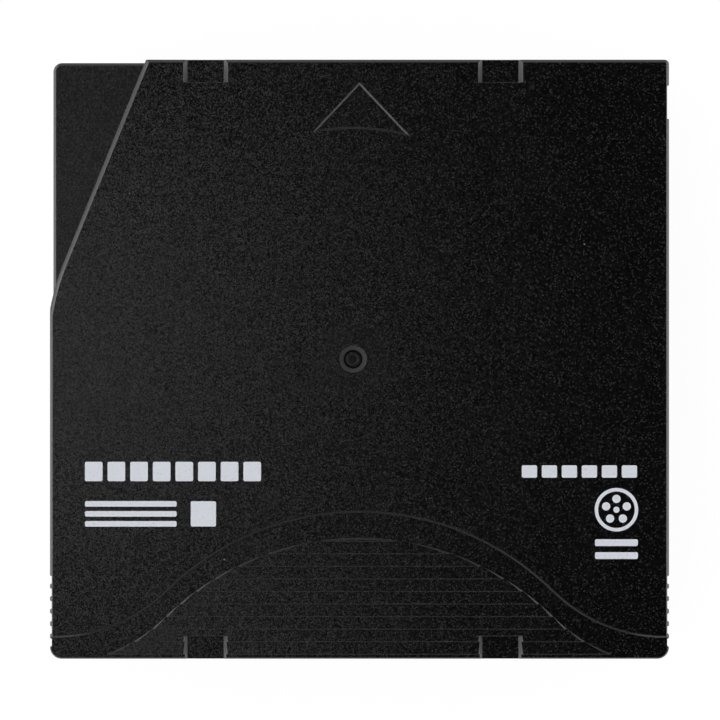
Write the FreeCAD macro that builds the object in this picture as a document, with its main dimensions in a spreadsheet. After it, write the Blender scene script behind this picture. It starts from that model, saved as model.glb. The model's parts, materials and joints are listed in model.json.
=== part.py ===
import FreeCAD, Part
import os
import re

import Sketcher

# Single-reel data tape cartridge.
# Frame: origin at the middle of the underside, +X to the door side, +Y to the leading edge, +Z up.
# The reel turns about a line parallel to Z that stands a little to the left of the middle.

SIZES = {
    # case
    "case_width": 105.4, "case_depth": 102.0, "case_height": 21.5,
    "side_wall": 2.0, "end_wall": 2.0, "plate_thickness": 2.0,
    "rear_corner_radius": 2.0, "front_corner_radius": 0.8,
    "edge_chamfer": 0.5, "parting_chamfer": 0.12,
    # lowered guide corner at the front left
    "guide_inset": 0.5, "guide_drop": 0.7, "guide_corner_radius": 1.5,
    "guide_arc_radius": 40.0, "guide_arc_end": 1.1, "guide_angle": 22.1,
    # datum notches along the front and rear edges
    "notch_offset": 25.1, "notch_width": 6.2, "notch_depth": 0.7, "notch_length": 3.9,
    # insertion arrow
    "arrow_tip": 46.7, "arrow_base": 38.1, "arrow_half_width": 8.1, "arrow_arc_radius": 39.2,
    "arrow_depth": 0.3,
    # finger grip on the top plate
    "grip_radius": 47.0, "grip_reach": 25.2, "grip_flare_radius": 27.0, "grip_flare_angle": 44.6,
    "grip_depth": 0.28, "rib_setback": 4.9, "rib_reach": 22.15, "rib_pitch": 2.135,
    "rib_height": 0.27, "rib_count": 10,
    # moulding gate in the middle of the top plate
    "gate_radius": 2.3, "gate_floor_radius": 1.3, "gate_depth": 0.7,
    "gate_ring_outer": 1.15, "gate_ring_inner": 0.8, "gate_ring_height": 0.45,
    # grooves of the side grips
    "groove_reach": 14.2, "groove_pitch": 2.13, "groove_width": 1.55, "groove_depth": 0.33,
    "groove_count": 6,
    # door, its window and its opener
    "window_setback": 4.3, "window_length": 19.7, "door_cover": 1.2, "door_thickness": 1.5,
    "door_gap": 0.15, "door_groove": 0.8, "door_lap": 1.5, "door_front_gap": 0.3,
    "opener_depth": 0.36, "opener_length": 5.8, "opener_half_height": 1.3, "opener_width": 2.0,
    "opener_clearance": 0.3, "door_grip_pitch": 1.2, "door_grip_depth": 0.25, "door_grip_count": 4,
    # door spring
    "door_spring_radius": 1.35, "door_spring_wire": 0.25, "door_spring_pitch": 2.6,
    "door_spring_stop": -20.0, "spring_gap": 0.3, "ledge_thickness": 0.8,
    "seat_length": 3.0, "peg_length": 4.0,
    # reel
    "reel_axis": -1.1, "reel_play": 0.7, "play_ring_gap": 0.9, "play_ring_thickness": 1.2,
    "play_ring_end": 13.0, "hub_opening_radius": 18.9, "rim_setback": 0.6, "rim_width": 1.5,
    "rim_height": 0.9,
    "reel_clearance": 0.3, "reel_headroom": 0.9, "flange_thickness": 1.1, "flange_lip": 1.3,
    "hub_radius": 22.0, "hub_wall": 2.4, "hub_floor": 1.8, "tape_margin": 0.275,
    "skirt_depth": 2.0, "skirt_thickness": 1.2,
    # drive gear and reel plate
    "gear_clearance": 0.7, "gear_width": 2.6, "gear_height": 2.0, "gear_tooth": 0.8,
    "gear_tooth_width": 1.1, "gear_tooth_count": 48, "tooth_inset": 0.1,
    "reel_plate_gap": 1.1, "reel_plate_hole": 5.6, "reel_plate_thickness": 1.0,
    # brake, its toothed posts and the release pad
    "post_inner": 9.0, "post_width": 2.8, "post_height": 2.1, "brake_tooth": 0.65,
    "brake_tooth_width": 0.6, "brake_tooth_count": 36, "brake_gap": 0.2, "brake_margin": 1.0,
    "brake_disc": 1.3, "brake_boss_radius": 4.7, "brake_boss_height": 5.4, "brake_lift": 1.8,
    "key_width": 4.0, "key_gap": 0.2, "key_headroom": 0.6, "nub_radius": 2.2,
    "pad_radius": 5.5, "pad_thickness": 1.1, "arm_width": 5.0, "arm_gap": 0.5, "arm_end_gap": 1.0,
    "leg_radius": 1.2, "leg_gap": 0.3, "leg_recess": 0.4,
    "brake_spring_radius": 5.6, "brake_spring_wire": 0.42, "brake_spring_pitch": 2.3,
    "spring_seat_gap": 0.5, "spring_seat_wall": 1.1, "spring_seat_height": 1.0,
    # leader pin, clip, leader tape and retainer spring
    "pin_setback_side": 11.2, "pin_setback_front": 9.0, "pin_flange_radius": 2.4,
    "pin_stem_radius": 1.1, "pin_collar_radius": 1.9, "pin_collar": 0.7, "pin_flange": 1.6,
    "pin_pocket": 0.7, "pin_gap": 0.1, "pin_pocket_gap": 0.2, "leader_thickness": 0.15,
    "leader_gap": 0.4, "clip_thickness": 0.7, "clip_margin": 0.3, "clip_mouth": 1.6,
    "retainer_thickness": 0.3, "retainer_arm": 0.85, "retainer_gap": 0.05,
    "retainer_left": 3.5, "retainer_right": 3.2, "retainer_bend_side": 3.9,
    "retainer_bend_front": 5.0, "retainer_angle": 32.7,
    # screws and their bosses
    "boss_radius": 2.8, "screw_radius": 1.0, "screw_head_radius": 1.9, "screw_head": 1.1,
    "screw_seat": 2.6, "screw_length": 13.0, "screw_play": 0.15, "screw_point": 1.0,
    "drive_slot": 0.5, "drive_length": 2.4, "drive_depth": 0.6,
    # datum holes in the underside
    "datum_radius": 2.5, "datum_depth": 5.0, "datum_wall": 1.2, "datum_slot": 2.0,
    "datum_side": 5.5, "datum_front": 17.0, "datum_rear": 18.0,
    # write-protect tab
    "tab_setback": 5.7, "tab_width": 6.0, "tab_height": 6.1, "tab_gap": 0.2, "tab_recess": 0.35,
    "tab_flange": 1.2, "tab_overlap": 0.9, "tab_rail": 1.2, "tab_groove": 0.6,
    # label area and memory board
    "label_setback": 21.0, "label_length": 78.0, "label_height": 17.0, "label_depth": 0.3,
    "board_setback": 4.2, "board_length": 20.0, "board_width": 9.5, "board_thickness": 0.8,
    "board_drop": 9.0, "board_rib": 1.2, "board_rib_inset": 1.0, "board_hold": 1.6,
    "antenna_thickness": 0.1, "antenna_inset": 1.0, "antenna_track": 1.4,
    "chip_length": 3.2, "chip_width": 2.6, "chip_thickness": 0.7,
}

# Places and sizes that follow from the ones above.
DERIVED = {
    "right": "case_width / 2", "front": "case_depth / 2", "middle": "case_height / 2",
    "floor_top": "plate_thickness", "roof_under": "case_height - plate_thickness",
    "guide_centre": "guide_arc_radius - right",
    "grip_centre": "grip_reach - grip_radius - front",
    "flare_x": "(grip_radius + grip_flare_radius) * sin(grip_flare_angle)",
    "flare_y": "grip_centre + (grip_radius + grip_flare_radius) * cos(grip_flare_angle)",
    "flare_start": "grip_centre + grip_radius * cos(grip_flare_angle)",
    "window_front": "front - window_setback", "window_rear": "window_front - window_length",
    "channel_outer": "right - door_cover", "door_outer": "channel_outer - door_gap",
    "door_inner": "door_outer - door_thickness", "channel_inner": "door_inner - door_gap",
    "channel_low": "floor_top - door_groove", "channel_high": "roof_under + door_groove",
    "door_front": "window_front - door_front_gap", "door_rear": "window_rear - door_lap",
    "door_travel": "window_length + door_gap * 2",
    "spring_outer": "door_spring_radius + door_spring_wire",
    "spring_axis": "channel_outer - spring_gap - spring_outer",
    "spring_room": "spring_outer + spring_gap",
    "seat_inner": "spring_axis - spring_outer * 0.75",
    "flange_radius": "min(right + reel_axis - side_wall, front - end_wall) - reel_play",
    "tape_radius": "flange_radius - flange_lip",
    "play_radius": "flange_radius + play_ring_gap",
    "flange_low": "floor_top + rim_height + reel_clearance",
    "hub_floor_top": "flange_low + hub_floor", "winding_low": "flange_low + flange_thickness",
    "winding_high": "roof_under - reel_headroom - flange_thickness",
    "tape_low": "winding_low + tape_margin", "tape_high": "winding_high - tape_margin",
    "hub_bore": "hub_radius - hub_wall",
    "gear_outer": "hub_opening_radius - gear_clearance", "gear_inner": "gear_outer - gear_width",
    "gear_low": "flange_low - gear_height", "leg_circle": "gear_outer - gear_width / 2",
    "post_outer": "post_inner + post_width", "post_top": "hub_floor_top + post_height",
    "post_root": "post_top - brake_tooth", "brake_low": "post_top + brake_gap",
    "brake_top": "brake_low + brake_disc", "boss_top": "brake_top + brake_boss_height",
    "pad_low": "hub_floor_top + brake_gap", "pad_top": "pad_low + pad_thickness",
    "key_low": "brake_top + brake_lift + key_headroom",
    "pin_x": "right - pin_setback_side", "pin_y": "front - pin_setback_front",
    "pin_low": "floor_top - pin_pocket + pin_gap", "pin_high": "roof_under + pin_pocket - pin_gap",
    "pin_distance": "hypot(pin_x - reel_axis; pin_y)",
    "leader_circle": "tape_radius + leader_gap",
    "leader_length": "sqrt(pin_distance ^ 2 - leader_circle ^ 2)",
    "leader_angle": "180 deg + atan2(pin_y; pin_x - reel_axis) + asin(leader_circle / pin_distance)",
    "loop_radius": "pin_stem_radius + leader_thickness",
    "tab_left": "tab_setback - right", "tab_window": "2 * tab_width + 2 * tab_gap",
    "tab_flange_low": "tab_height / 2 + tab_overlap",
    "wall_rear": "end_wall - front", "wall_front": "front - end_wall",
    "board_left": "right - board_setback - board_length", "board_rear": "wall_rear + 0.5",
}

doc = FreeCAD.newDocument("tape_cartridge")
sheet = doc.addObject("Spreadsheet::Sheet", "Sizes")
for row, (alias, value) in enumerate(SIZES.items(), start=1):
    sheet.set(f"A{row}", alias.replace("_", " "))
    sheet.set(f"B{row}", str(value))
    sheet.setAlias(f"B{row}", alias)
doc.recompute()


def formula(text):
    """Write a formula of plain names as an expression on the cells of the sheet."""
    def cell(match):
        word = match.group()
        if word in SIZES:
            return "Sizes." + word
        return "(" + formula(DERIVED[word]) + ")" if word in DERIVED else word
    return re.sub(r"[a-z][a-z_]*", cell, str(text))


def bind(item, **formulas):
    """Tie properties of an object to formulas."""
    for name, text in formulas.items():
        item.setExpression(name, formula(text))
    return item


def place(item, x=0, y=0, z=0):
    """Tie an object's position to formulas."""
    for axis, text in zip("xyz", (x, y, z)):
        item.setExpression("Placement.Base." + axis, formula(text))
    return item


def turn(item, axis, angle):
    """Turn an object about one of its own axes, by a number of degrees."""
    item.Placement.Rotation = FreeCAD.Rotation(FreeCAD.Vector(*axis), angle)
    return item


# ---------------------------------------------------------------- solids from primitives

def box(name, low, high):
    """A block between two corners."""
    block = doc.addObject("Part::Box", name)
    spans = [f"({end}) - ({start})" for start, end in zip(low, high)]
    bind(block, Length=spans[0], Width=spans[1], Height=spans[2])
    return place(block, *low)


def cylinder(name, base, radius, length, axis=None, angle=0):
    """A round bar that starts at base and runs along Z, or along Z turned about an axis."""
    bar = doc.addObject("Part::Cylinder", name)
    bind(bar, Radius=radius, Height=length)
    if axis:
        turn(bar, axis, angle)
    return place(bar, *base)


def cone(name, base, low_radius, high_radius, length):
    """An upright cone or frustum."""
    frustum = doc.addObject("Part::Cone", name)
    bind(frustum, Radius1=low_radius, Radius2=high_radius, Height=length)
    return place(frustum, *base)


def fuse(name, *pieces):
    joined = doc.addObject("Part::MultiFuse", name)
    joined.Shapes = list(pieces)
    return joined


def cut(name, base, *tools):
    remainder = doc.addObject("Part::Cut", name)
    remainder.Base = base
    remainder.Tool = tools[0] if len(tools) == 1 else fuse(name + "_tools", *tools)
    return remainder


def common(name, *pieces):
    shared = doc.addObject("Part::MultiCommon", name)
    shared.Shapes = list(pieces)
    return shared


def group(name, *pieces):
    """Separate solids kept together."""
    members = doc.addObject("Part::Compound", name)
    members.Links = list(pieces)
    return members


def mirror(name, source, normal, base=(0, 0, 0)):
    """The mirror image of an object in a plane."""
    image = doc.addObject("Part::Mirroring", name)
    image.Source = source
    image.Normal = FreeCAD.Vector(*normal)
    for axis, text in zip("xyz", base):
        image.setExpression("Base." + axis, formula(text))
    return image


def tube(name, base, outer, inner, length):
    """An upright ring."""
    return cut(name, cylinder(name + "_outer", base, outer, length),
               cylinder(name + "_inner", base, inner, length))


# ---------------------------------------------------------------- solids from sketches

def origin_feature(body, role):
    return next(item for item in body.Origin.OriginFeatures if item.Role == role)


def outline(body, name, plane, points, level=0):
    """A closed sketch with straight sides through points given as formulas."""
    sketch = body.newObject("Sketcher::SketchObject", name)
    sketch.AttachmentSupport = [(origin_feature(body, plane), "")]
    sketch.MapMode = "FlatFace"
    sketch.setExpression("AttachmentOffset.Base.z", formula(level))
    count = len(points)
    start = FreeCAD.Vector(10, 0, 0)
    turns = [FreeCAD.Rotation(FreeCAD.Vector(0, 0, 1), 360.0 * i / count) for i in range(count)]
    corners = [rotation.multVec(start) for rotation in turns]
    for i in range(count):
        sketch.addGeometry(Part.LineSegment(corners[i], corners[(i + 1) % count]), False)
    for i in range(count):
        sketch.addConstraint(Sketcher.Constraint("Coincident", i, 2, (i + 1) % count, 1))
    for i, (x, y) in enumerate(points):
        for kind, text, value in (("DistanceX", x, corners[i].x), ("DistanceY", y, corners[i].y)):
            index = sketch.addConstraint(Sketcher.Constraint(kind, -1, 1, i, 1, value))
            sketch.setExpression(f"Constraints[{index}]", formula(text))
    return sketch


def extruded(name, plane, points, length, reverse=False, midplane=False, level=0):
    """A body padded from one sketch."""
    body = doc.addObject("PartDesign::Body", name)
    sketch = outline(body, name + "_outline", plane, points, level)
    pad = body.newObject("PartDesign::Pad", name + "_pad")
    pad.Profile = sketch
    pad.Reversed = reverse
    if midplane:
        pad.SideType = "Symmetric"
    bind(pad, Length=length)
    sketch.Visibility = False
    return body


def revolved(name, points):
    """A body turned about its own upright axis from a section in radius and height."""
    body = doc.addObject("PartDesign::Body", name)
    sketch = outline(body, name + "_section", "XZ_Plane", points)
    revolution = body.newObject("PartDesign::Revolution", name + "_turned")
    revolution.Profile = sketch
    revolution.ReferenceAxis = (sketch, ["V_Axis"])
    revolution.Angle = 360
    return body


def rectangle(low_x, high_x, low_y, high_y):
    return [(low_x, low_y), (high_x, low_y), (high_x, high_y), (low_x, high_y)]


def toothed_ring(name, section, tooth, tooth_length, level, count, reverse=False):
    """A turned ring with radial teeth standing on one of its faces."""
    body = revolved(name, section)
    sketch = outline(body, name + "_tooth", "XY_Plane", tooth, level)
    pad = body.newObject("PartDesign::Pad", name + "_tooth_pad")
    pad.Profile = sketch
    pad.Reversed = reverse
    bind(pad, Length=tooth_length)
    pattern = body.newObject("PartDesign::PolarPattern", name + "_teeth")
    pattern.Originals = [pad]
    pattern.Axis = (origin_feature(body, "Z_Axis"), [""])
    pattern.Angle = 360
    bind(pattern, Occurrences=count)
    body.Tip = pattern
    return body


def case_block(name, low, high, corner_radii):
    """A block with rounded upright corners and chamfered rims."""
    body = extruded(name, "XY_Plane", rectangle(low[0], high[0], low[1], high[1]),
                    f"({high[2]}) - ({low[2]})", level=low[2])
    doc.recompute()
    for side, size in corner_radii.items():
        base = body.Tip
        upright = [f"Edge{number}" for number, edge in enumerate(base.Shape.Edges, start=1)
                   if edge.BoundBox.ZLength > 1 and edge.CenterOfMass.y * side > 0]
        rounding = body.newObject("PartDesign::Fillet", f"{name}_corners_{base.Name}")
        rounding.Base = (base, upright)
        bind(rounding, Radius=size)
        doc.recompute()
    for top, size in ((True, "edge_chamfer"), (False, "parting_chamfer")):
        base = body.Tip
        bounds = base.Shape.BoundBox
        level = bounds.ZMax if top else bounds.ZMin
        rim = [f"Edge{number}" for number, edge in enumerate(base.Shape.Edges, start=1)
               if edge.BoundBox.ZLength < 0.001 and abs(edge.CenterOfMass.z - level) < 0.001]
        bevel = body.newObject("PartDesign::Chamfer", f"{name}_rim_{base.Name}")
        bevel.Base = (base, rim)
        bind(bevel, Size=size)
        doc.recompute()
    return body


# ---------------------------------------------------------------- outer form of the case

blank = case_block("case_blank", ("-right", "-front", "middle"), ("right", "front", "case_height"),
                   {-1: "rear_corner_radius", 1: "front_corner_radius"})


def guide_corner():
    """What is missing from the blank at the lowered corner: a flat land, set in at its two sides."""
    land = case_block("guide_land", ("guide_inset - right", "-front", "middle"),
                      ("right", "front - guide_inset", "case_height - guide_drop"),
                      {1: "guide_corner_radius"})
    deck = "case_height - guide_drop"
    section = [("-guide_arc_radius - guide_drop", "middle - 1"), (0, "middle - 1"),
               (0, "case_height + 1"), ("1 - guide_arc_radius", "case_height + 1"),
               ("-guide_arc_radius - guide_drop", deck)]
    kept_round = revolved("guide_round", [(f"-({x})", z) for x, z in section])
    place(kept_round, "guide_centre", "guide_arc_end")
    kept_side = extruded("guide_side", "XZ_Plane", section, "case_depth", reverse=True)
    turn(kept_side, (0, 0, 1), -1)
    bind(kept_side, **{"Placement.Rotation.Angle": "-guide_angle"})
    place(kept_side, "guide_centre", "guide_arc_end")
    region = box("guide_region", ("-right - 1", "guide_arc_end", "middle - 1"),
                 ("guide_centre", "front + 1", "case_height + 1"))
    return cut("guide_corner", region, kept_round, kept_side, land)


def bell(name, setback, low, high, spread):
    """The bell-shaped field of the finger grip: a round crown whose flanks flare out to the sides.

    Its walls lean by spread, in mm outwards for each mm of height.
    """
    base, top = f"({low}) - case_height", f"({high}) - case_height"
    height = f"({high}) - ({low})"
    crown = cone(name + "_crown", (0, f"grip_centre - ({setback})", low),
                 f"grip_radius + {spread} * ({base})", f"grip_radius + {spread} * ({top})", height)
    flanks = [cone(f"{name}_flank_{side}", (f"{sign} * flare_x", f"flare_y - ({setback})", low),
                   f"grip_flare_radius - {spread} * ({base})",
                   f"grip_flare_radius - {spread} * ({top})", height)
              for side, sign in (("left", -1), ("right", 1))]
    skirt = box(name + "_skirt", ("-right - 1", "-front - 1", low),
                ("right + 1", f"flare_start - ({setback})", high))
    return fuse(name, crown, cut(name + "_flared", skirt, *flanks))


def grip_ribs():
    """Sawtooth ribs that rise towards the rear edge and end along the bell's outline."""
    sink = "0.2"
    ribs = extruded("rib_rows", "YZ_Plane",
                    [(0, f"-{sink}"), (0, 0), ("-rib_pitch", "rib_height"), ("-rib_pitch", f"-{sink}")],
                    "case_width + 2", midplane=True)
    pattern = ribs.newObject("PartDesign::LinearPattern", "rib_row_pattern")
    pattern.Originals = [ribs.Group[1]]
    pattern.Direction = (ribs.Group[0], ["H_Axis"])
    pattern.Reversed = True
    bind(pattern, Length="(rib_count - 1) * rib_pitch", Occurrences="rib_count")
    ribs.Tip = pattern
    place(ribs, 0, "rib_reach - front", "case_height - grip_depth")
    field = bell("rib_field", "rib_setback", "case_height - grip_depth - 0.3", "case_height", -1)
    return common("grip_ribs", ribs, field, blank)


def datum_notches():
    """Four shallow notches with sloped sides, two at the front edge and two at the rear edge."""
    section = [("-notch_width / 2", "-notch_depth"), ("notch_width / 2", "-notch_depth"),
               ("notch_width / 2 + notch_depth + 1", 1), ("-notch_width / 2 - notch_depth - 1", 1)]
    notches = []
    for side, sign in (("left", "-"), ("right", "+")):
        for end, start in (("front", "front - notch_length"), ("rear", "-front - 1")):
            notch = extruded(f"notch_{end}_{side}", "XZ_Plane", section, "notch_length + 1",
                             reverse=True)
            notches.append(place(notch, f"reel_axis {sign} notch_offset", start, "case_height"))
    return group("datum_notches", *notches)


def arrow():
    """A triangle that points to the front, its base an arc about the reel's axis."""
    body = extruded("arrow_triangle", "XY_Plane",
                    [("-arrow_half_width", "arrow_base"), ("arrow_half_width", "arrow_base"),
                     (0, "arrow_tip")],
                    "arrow_depth + 0.2", level="case_height - arrow_depth")
    body.Tip.TaperAngle = 40
    disc = cone("arrow_arc", ("reel_axis", 0, "case_height - arrow_depth - 1"),
                "arrow_arc_radius + arrow_depth + 1", "arrow_arc_radius - 1",
                "arrow_depth + 2")
    return cut("arrow", body, disc)


def gate():
    """The dimple that the moulding gate stands in."""
    low = "case_height - gate_depth"
    slope = "(gate_radius - gate_floor_radius) / gate_depth"
    dimple = cone("gate_dimple", ("reel_axis", 0, low), "gate_floor_radius",
                  f"gate_radius + {slope}", "gate_depth + 1")
    ring = tube("gate_ring", ("reel_axis", 0, low), "gate_ring_outer", "gate_ring_inner",
                "gate_ring_height")
    return cut("gate", dimple, ring)


def side_grooves():
    """Upright grooves of the grips at the rear of both sides, through both halves."""
    half = "groove_width / 2"
    section = [("-groove_depth", f"0.15 - {half}"), ("-groove_depth", f"{half} - 0.15"),
               (1, f"{half} + 0.4"), (1, f"-{half} - 0.4")]
    body = extruded("grooves_right", "XY_Plane", section, "case_height + 2", level=-1)
    pattern = body.newObject("PartDesign::LinearPattern", "groove_pattern")
    pattern.Originals = [body.Group[1]]
    pattern.Direction = (body.Group[0], ["V_Axis"])
    pattern.Reversed = True
    bind(pattern, Length="(groove_count - 1) * groove_pitch", Occurrences="groove_count")
    body.Tip = pattern
    body.AllowCompound = True
    place(body, "right", "groove_reach - front - groove_width / 2")
    return group("side_grooves", body, mirror("grooves_left", body, (1, 0, 0)))


guide, notches = guide_corner(), datum_notches()
grip = bell("grip_pocket", 0, "case_height - grip_depth", "case_height + 1", 1)
ribbed_form = fuse("ribbed_form", cut("plain_form", blank, guide, grip), grip_ribs())
upper_form = cut("upper_form", ribbed_form, notches, arrow(), gate())
lower_form = mirror("lower_form", cut("lower_form_upright", blank, guide, notches), (0, 0, 1),
                    (0, 0, "middle"))

# ---------------------------------------------------------------- cuts that both halves share

grooves = side_grooves()
opener_room = "opener_half_height + opener_clearance"
shared_cuts = fuse(
    "shared_cuts",
    box("door_window", ("right - side_wall - 1", "window_rear", "floor_top"),
        ("right + 1", "window_front", "roof_under")),
    box("door_channel", ("channel_inner", "door_rear - door_travel - door_gap * 2", "channel_low"),
        ("channel_outer", "window_front", "channel_high")),
    box("opener_notch", ("right - opener_depth", "window_front - opener_length", -1),
        ("right + 1", "window_front", "case_height + 1")),
    box("opener_slit", ("channel_inner", "window_front - 1", f"middle - ({opener_room})"),
        ("right + 1", "front + 1", f"middle + {opener_room}")),
    box("opener_slot",
        ("door_outer - 0.5",
         "door_front - opener_width - door_travel - opener_clearance",
         f"middle - ({opener_room})"),
        ("right + 1", "window_rear + 1", f"middle + {opener_room}")),
    box("spring_channel", ("seat_inner", "door_spring_stop", "middle - spring_room"),
        ("channel_outer", "window_rear", "middle + spring_room")),
    box("tab_opening", ("tab_left", "-front - 1", "middle - tab_height / 2 - tab_gap"),
        ("tab_left + tab_window", "wall_rear + 0.5", "middle + tab_height / 2 + tab_gap")),
    box("label_area", ("label_setback - right", "-front - 1", "middle - label_height / 2"),
        ("label_setback + label_length - right", "label_depth - front", "middle + label_height / 2")),
)

# ---------------------------------------------------------------- screw places

SCREWS = {
    "front_left": ("6.0 - right", "front - 5.8"),
    "front_right": ("right - 18.7", "front - 7.0"),
    "rear_left": ("6.2 - right", "7.5 - front"),
    "rear_right": ("right - 8.2", "14.0 - front"),
}


def play_ring(name, low, high):
    """The ribs round the reel that limit its play, open where the tape and the door pass."""
    ring = tube(name + "_full", ("reel_axis", 0, low), "play_radius + play_ring_thickness",
                "play_radius", f"({high}) - ({low})")
    inside = box(name + "_inside", ("side_wall - right - 0.5", "wall_rear - 0.5", low),
                 ("right - side_wall + 0.5", "wall_front + 0.5", high))
    passage = box(name + "_passage", ("play_ring_end", "door_spring_stop - 3", f"({low}) - 1"),
                  ("right + 1", "front + 1", f"({high}) + 1"))
    return cut(name, common(name + "_trimmed", ring, inside), passage)


def shell(name, form, cavity, fittings, drillings):
    """One moulded half: its form hollowed out, with its fittings added and its openings cut."""
    hollow = cut(name + "_tray", form, cavity)
    whole = cut(name, fuse(name + "_fitted", hollow, *fittings), shared_cuts, grooves, *drillings)
    whole.Refine = True
    return whole


def tab_rail(name, low, high, lip_low, lip_high):
    """A ledge beside the write-protect tab, with a lip that keeps its flange against the wall."""
    ends = ("tab_left - tab_overlap - tab_gap * 2", "tab_left + tab_window + tab_overlap + tab_gap")
    behind = "wall_rear + tab_flange + tab_gap * 2"
    return fuse(name,
                box(name + "_ledge", (ends[0], "wall_rear - 0.5", low),
                    (ends[1], f"{behind} + tab_rail", high)),
                box(name + "_lip", (ends[0], behind, lip_low),
                    (ends[1], f"{behind} + tab_rail", lip_high)))


# ---------------------------------------------------------------- upper shell

upper_fittings = [cylinder(f"upper_boss_{corner}", (x, y, "middle"), "boss_radius",
                           "roof_under + 0.5 - middle") for corner, (x, y) in SCREWS.items()]
upper_fittings += [
    play_ring("upper_play_ring", "middle", "roof_under + 0.5"),
    box("brake_key", ("reel_axis - key_width / 2", "-key_width / 2", "key_low"),
        ("reel_axis + key_width / 2", "key_width / 2", "roof_under + 0.5")),
    tube("spring_seat", ("reel_axis", 0, "roof_under - spring_seat_height"),
         "brake_spring_radius + brake_spring_wire + spring_seat_gap + spring_seat_wall",
         "brake_spring_radius + brake_spring_wire + spring_seat_gap", "spring_seat_height + 0.5"),
    box("upper_corner_post", ("channel_inner - 1", "window_front", "middle"),
        ("right - 1", "front - 1", "roof_under + 0.5")),
    box("upper_spring_ledge",
        ("seat_inner", "door_spring_stop - 1.5", "middle + spring_room"),
        ("right - 1", "door_rear - door_travel - 1", "middle + spring_room + ledge_thickness")),
    box("upper_spring_stop", ("seat_inner", "door_spring_stop - 1.5", "middle"),
        ("right - 1", "door_spring_stop", "middle + spring_room + 0.1")),
    tab_rail("upper_tab_rail", "middle + tab_flange_low + tab_gap", "roof_under + 0.5",
             "middle + tab_flange_low - 1.2", "middle + tab_flange_low + 1"),
]


def board_face(y, offset):
    """The height of the memory board's outer face, or a plane above it, at a depth y."""
    return f"board_drop - (({y}) - board_rear) + ({offset})"


for number, start in enumerate(("board_left + board_rib_inset",
                                "board_left + board_length - board_rib_inset - board_rib"), 1):
    near, far = "board_rear + 0.5", "board_rear + 0.5 + board_hold"
    above = "board_thickness * sqrt(2)"
    keeper = extruded(f"board_keeper_{number}", "YZ_Plane",
                      [(near, board_face(near, above)), (far, board_face(far, above)),
                       (far, "roof_under + 0.5"), (near, "roof_under + 0.5")], "board_rib")
    upper_fittings.append(place(keeper, start))

upper_drillings = [cylinder(f"pilot_{corner}", (x, y, "middle - 1"), "screw_radius",
                            "screw_seat + screw_length + 0.5 - middle + 1")
                   for corner, (x, y) in SCREWS.items()]
upper_drillings += [
    cylinder("upper_pin_pocket", ("pin_x", "pin_y", "roof_under - 1"),
             "pin_flange_radius + pin_pocket_gap", "pin_pocket + 1"),
    box("upper_pin_way", ("pin_x", "pin_y - pin_flange_radius - pin_pocket_gap", "roof_under - 1"),
        ("channel_outer", "pin_y + pin_flange_radius + pin_pocket_gap", "roof_under + pin_pocket")),
]
upper_cavity = box("upper_cavity", ("side_wall - right", "wall_rear", "middle - 1"),
                   ("right - side_wall", "wall_front", "roof_under"))
upper_shell = shell("upper_shell", upper_form, upper_cavity, upper_fittings, upper_drillings)

# ---------------------------------------------------------------- lower shell

lower_fittings = [cylinder(f"lower_boss_{corner}", (x, y, "floor_top - 0.5"), "boss_radius",
                           "middle - floor_top + 0.5") for corner, (x, y) in SCREWS.items()]
lower_fittings += [
    play_ring("lower_play_ring", "floor_top - 0.5", "middle"),
    tube("opening_rim", ("reel_axis", 0, "floor_top - 0.5"),
         "hub_opening_radius + rim_setback + rim_width", "hub_opening_radius + rim_setback",
         "rim_height + 0.5"),
    box("lower_corner_post", ("channel_inner - 1", "window_front", "floor_top - 0.5"),
        ("right - 1", "front - 1", "middle")),
    box("lower_spring_ledge",
        ("seat_inner", "door_spring_stop - 1.5", "middle - spring_room - ledge_thickness"),
        ("right - 1", "door_rear - door_travel - 1", "middle - spring_room")),
    box("lower_spring_stop", ("seat_inner", "door_spring_stop - 1.5", "middle - spring_room - 0.1"),
        ("right - 1", "door_spring_stop", "middle")),
    tab_rail("lower_tab_rail", "floor_top - 0.5", "middle - tab_flange_low - tab_gap",
             "middle - tab_flange_low - 1", "1.2 + middle - tab_flange_low"),
    cylinder("datum_cup", ("datum_side - right", "front - datum_front", "floor_top - 0.5"),
             "datum_radius + datum_wall", "datum_depth + datum_wall - floor_top + 0.5"),
]
for number, shift in enumerate(("-datum_slot / 2", "datum_slot / 2"), 1):
    lower_fittings.append(
        cylinder(f"slot_cup_{number}", ("datum_side - right", f"datum_rear - front + {shift}",
                                        "floor_top - 0.5"),
                 "datum_radius + datum_wall", "datum_depth + datum_wall - floor_top + 0.5"))
for number, start in enumerate(("board_left + board_rib_inset",
                                "board_left + board_length - board_rib_inset - board_rib"), 1):
    reach = "board_drop + board_rear - floor_top + 0.5"
    support = extruded(f"board_support_{number}", "YZ_Plane",
                       [("wall_rear - 0.5", "floor_top - 0.5"), (reach, "floor_top - 0.5"),
                        ("wall_rear - 0.5", board_face("wall_rear - 0.5", 0))], "board_rib")
    lower_fittings.append(place(support, start))

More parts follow.
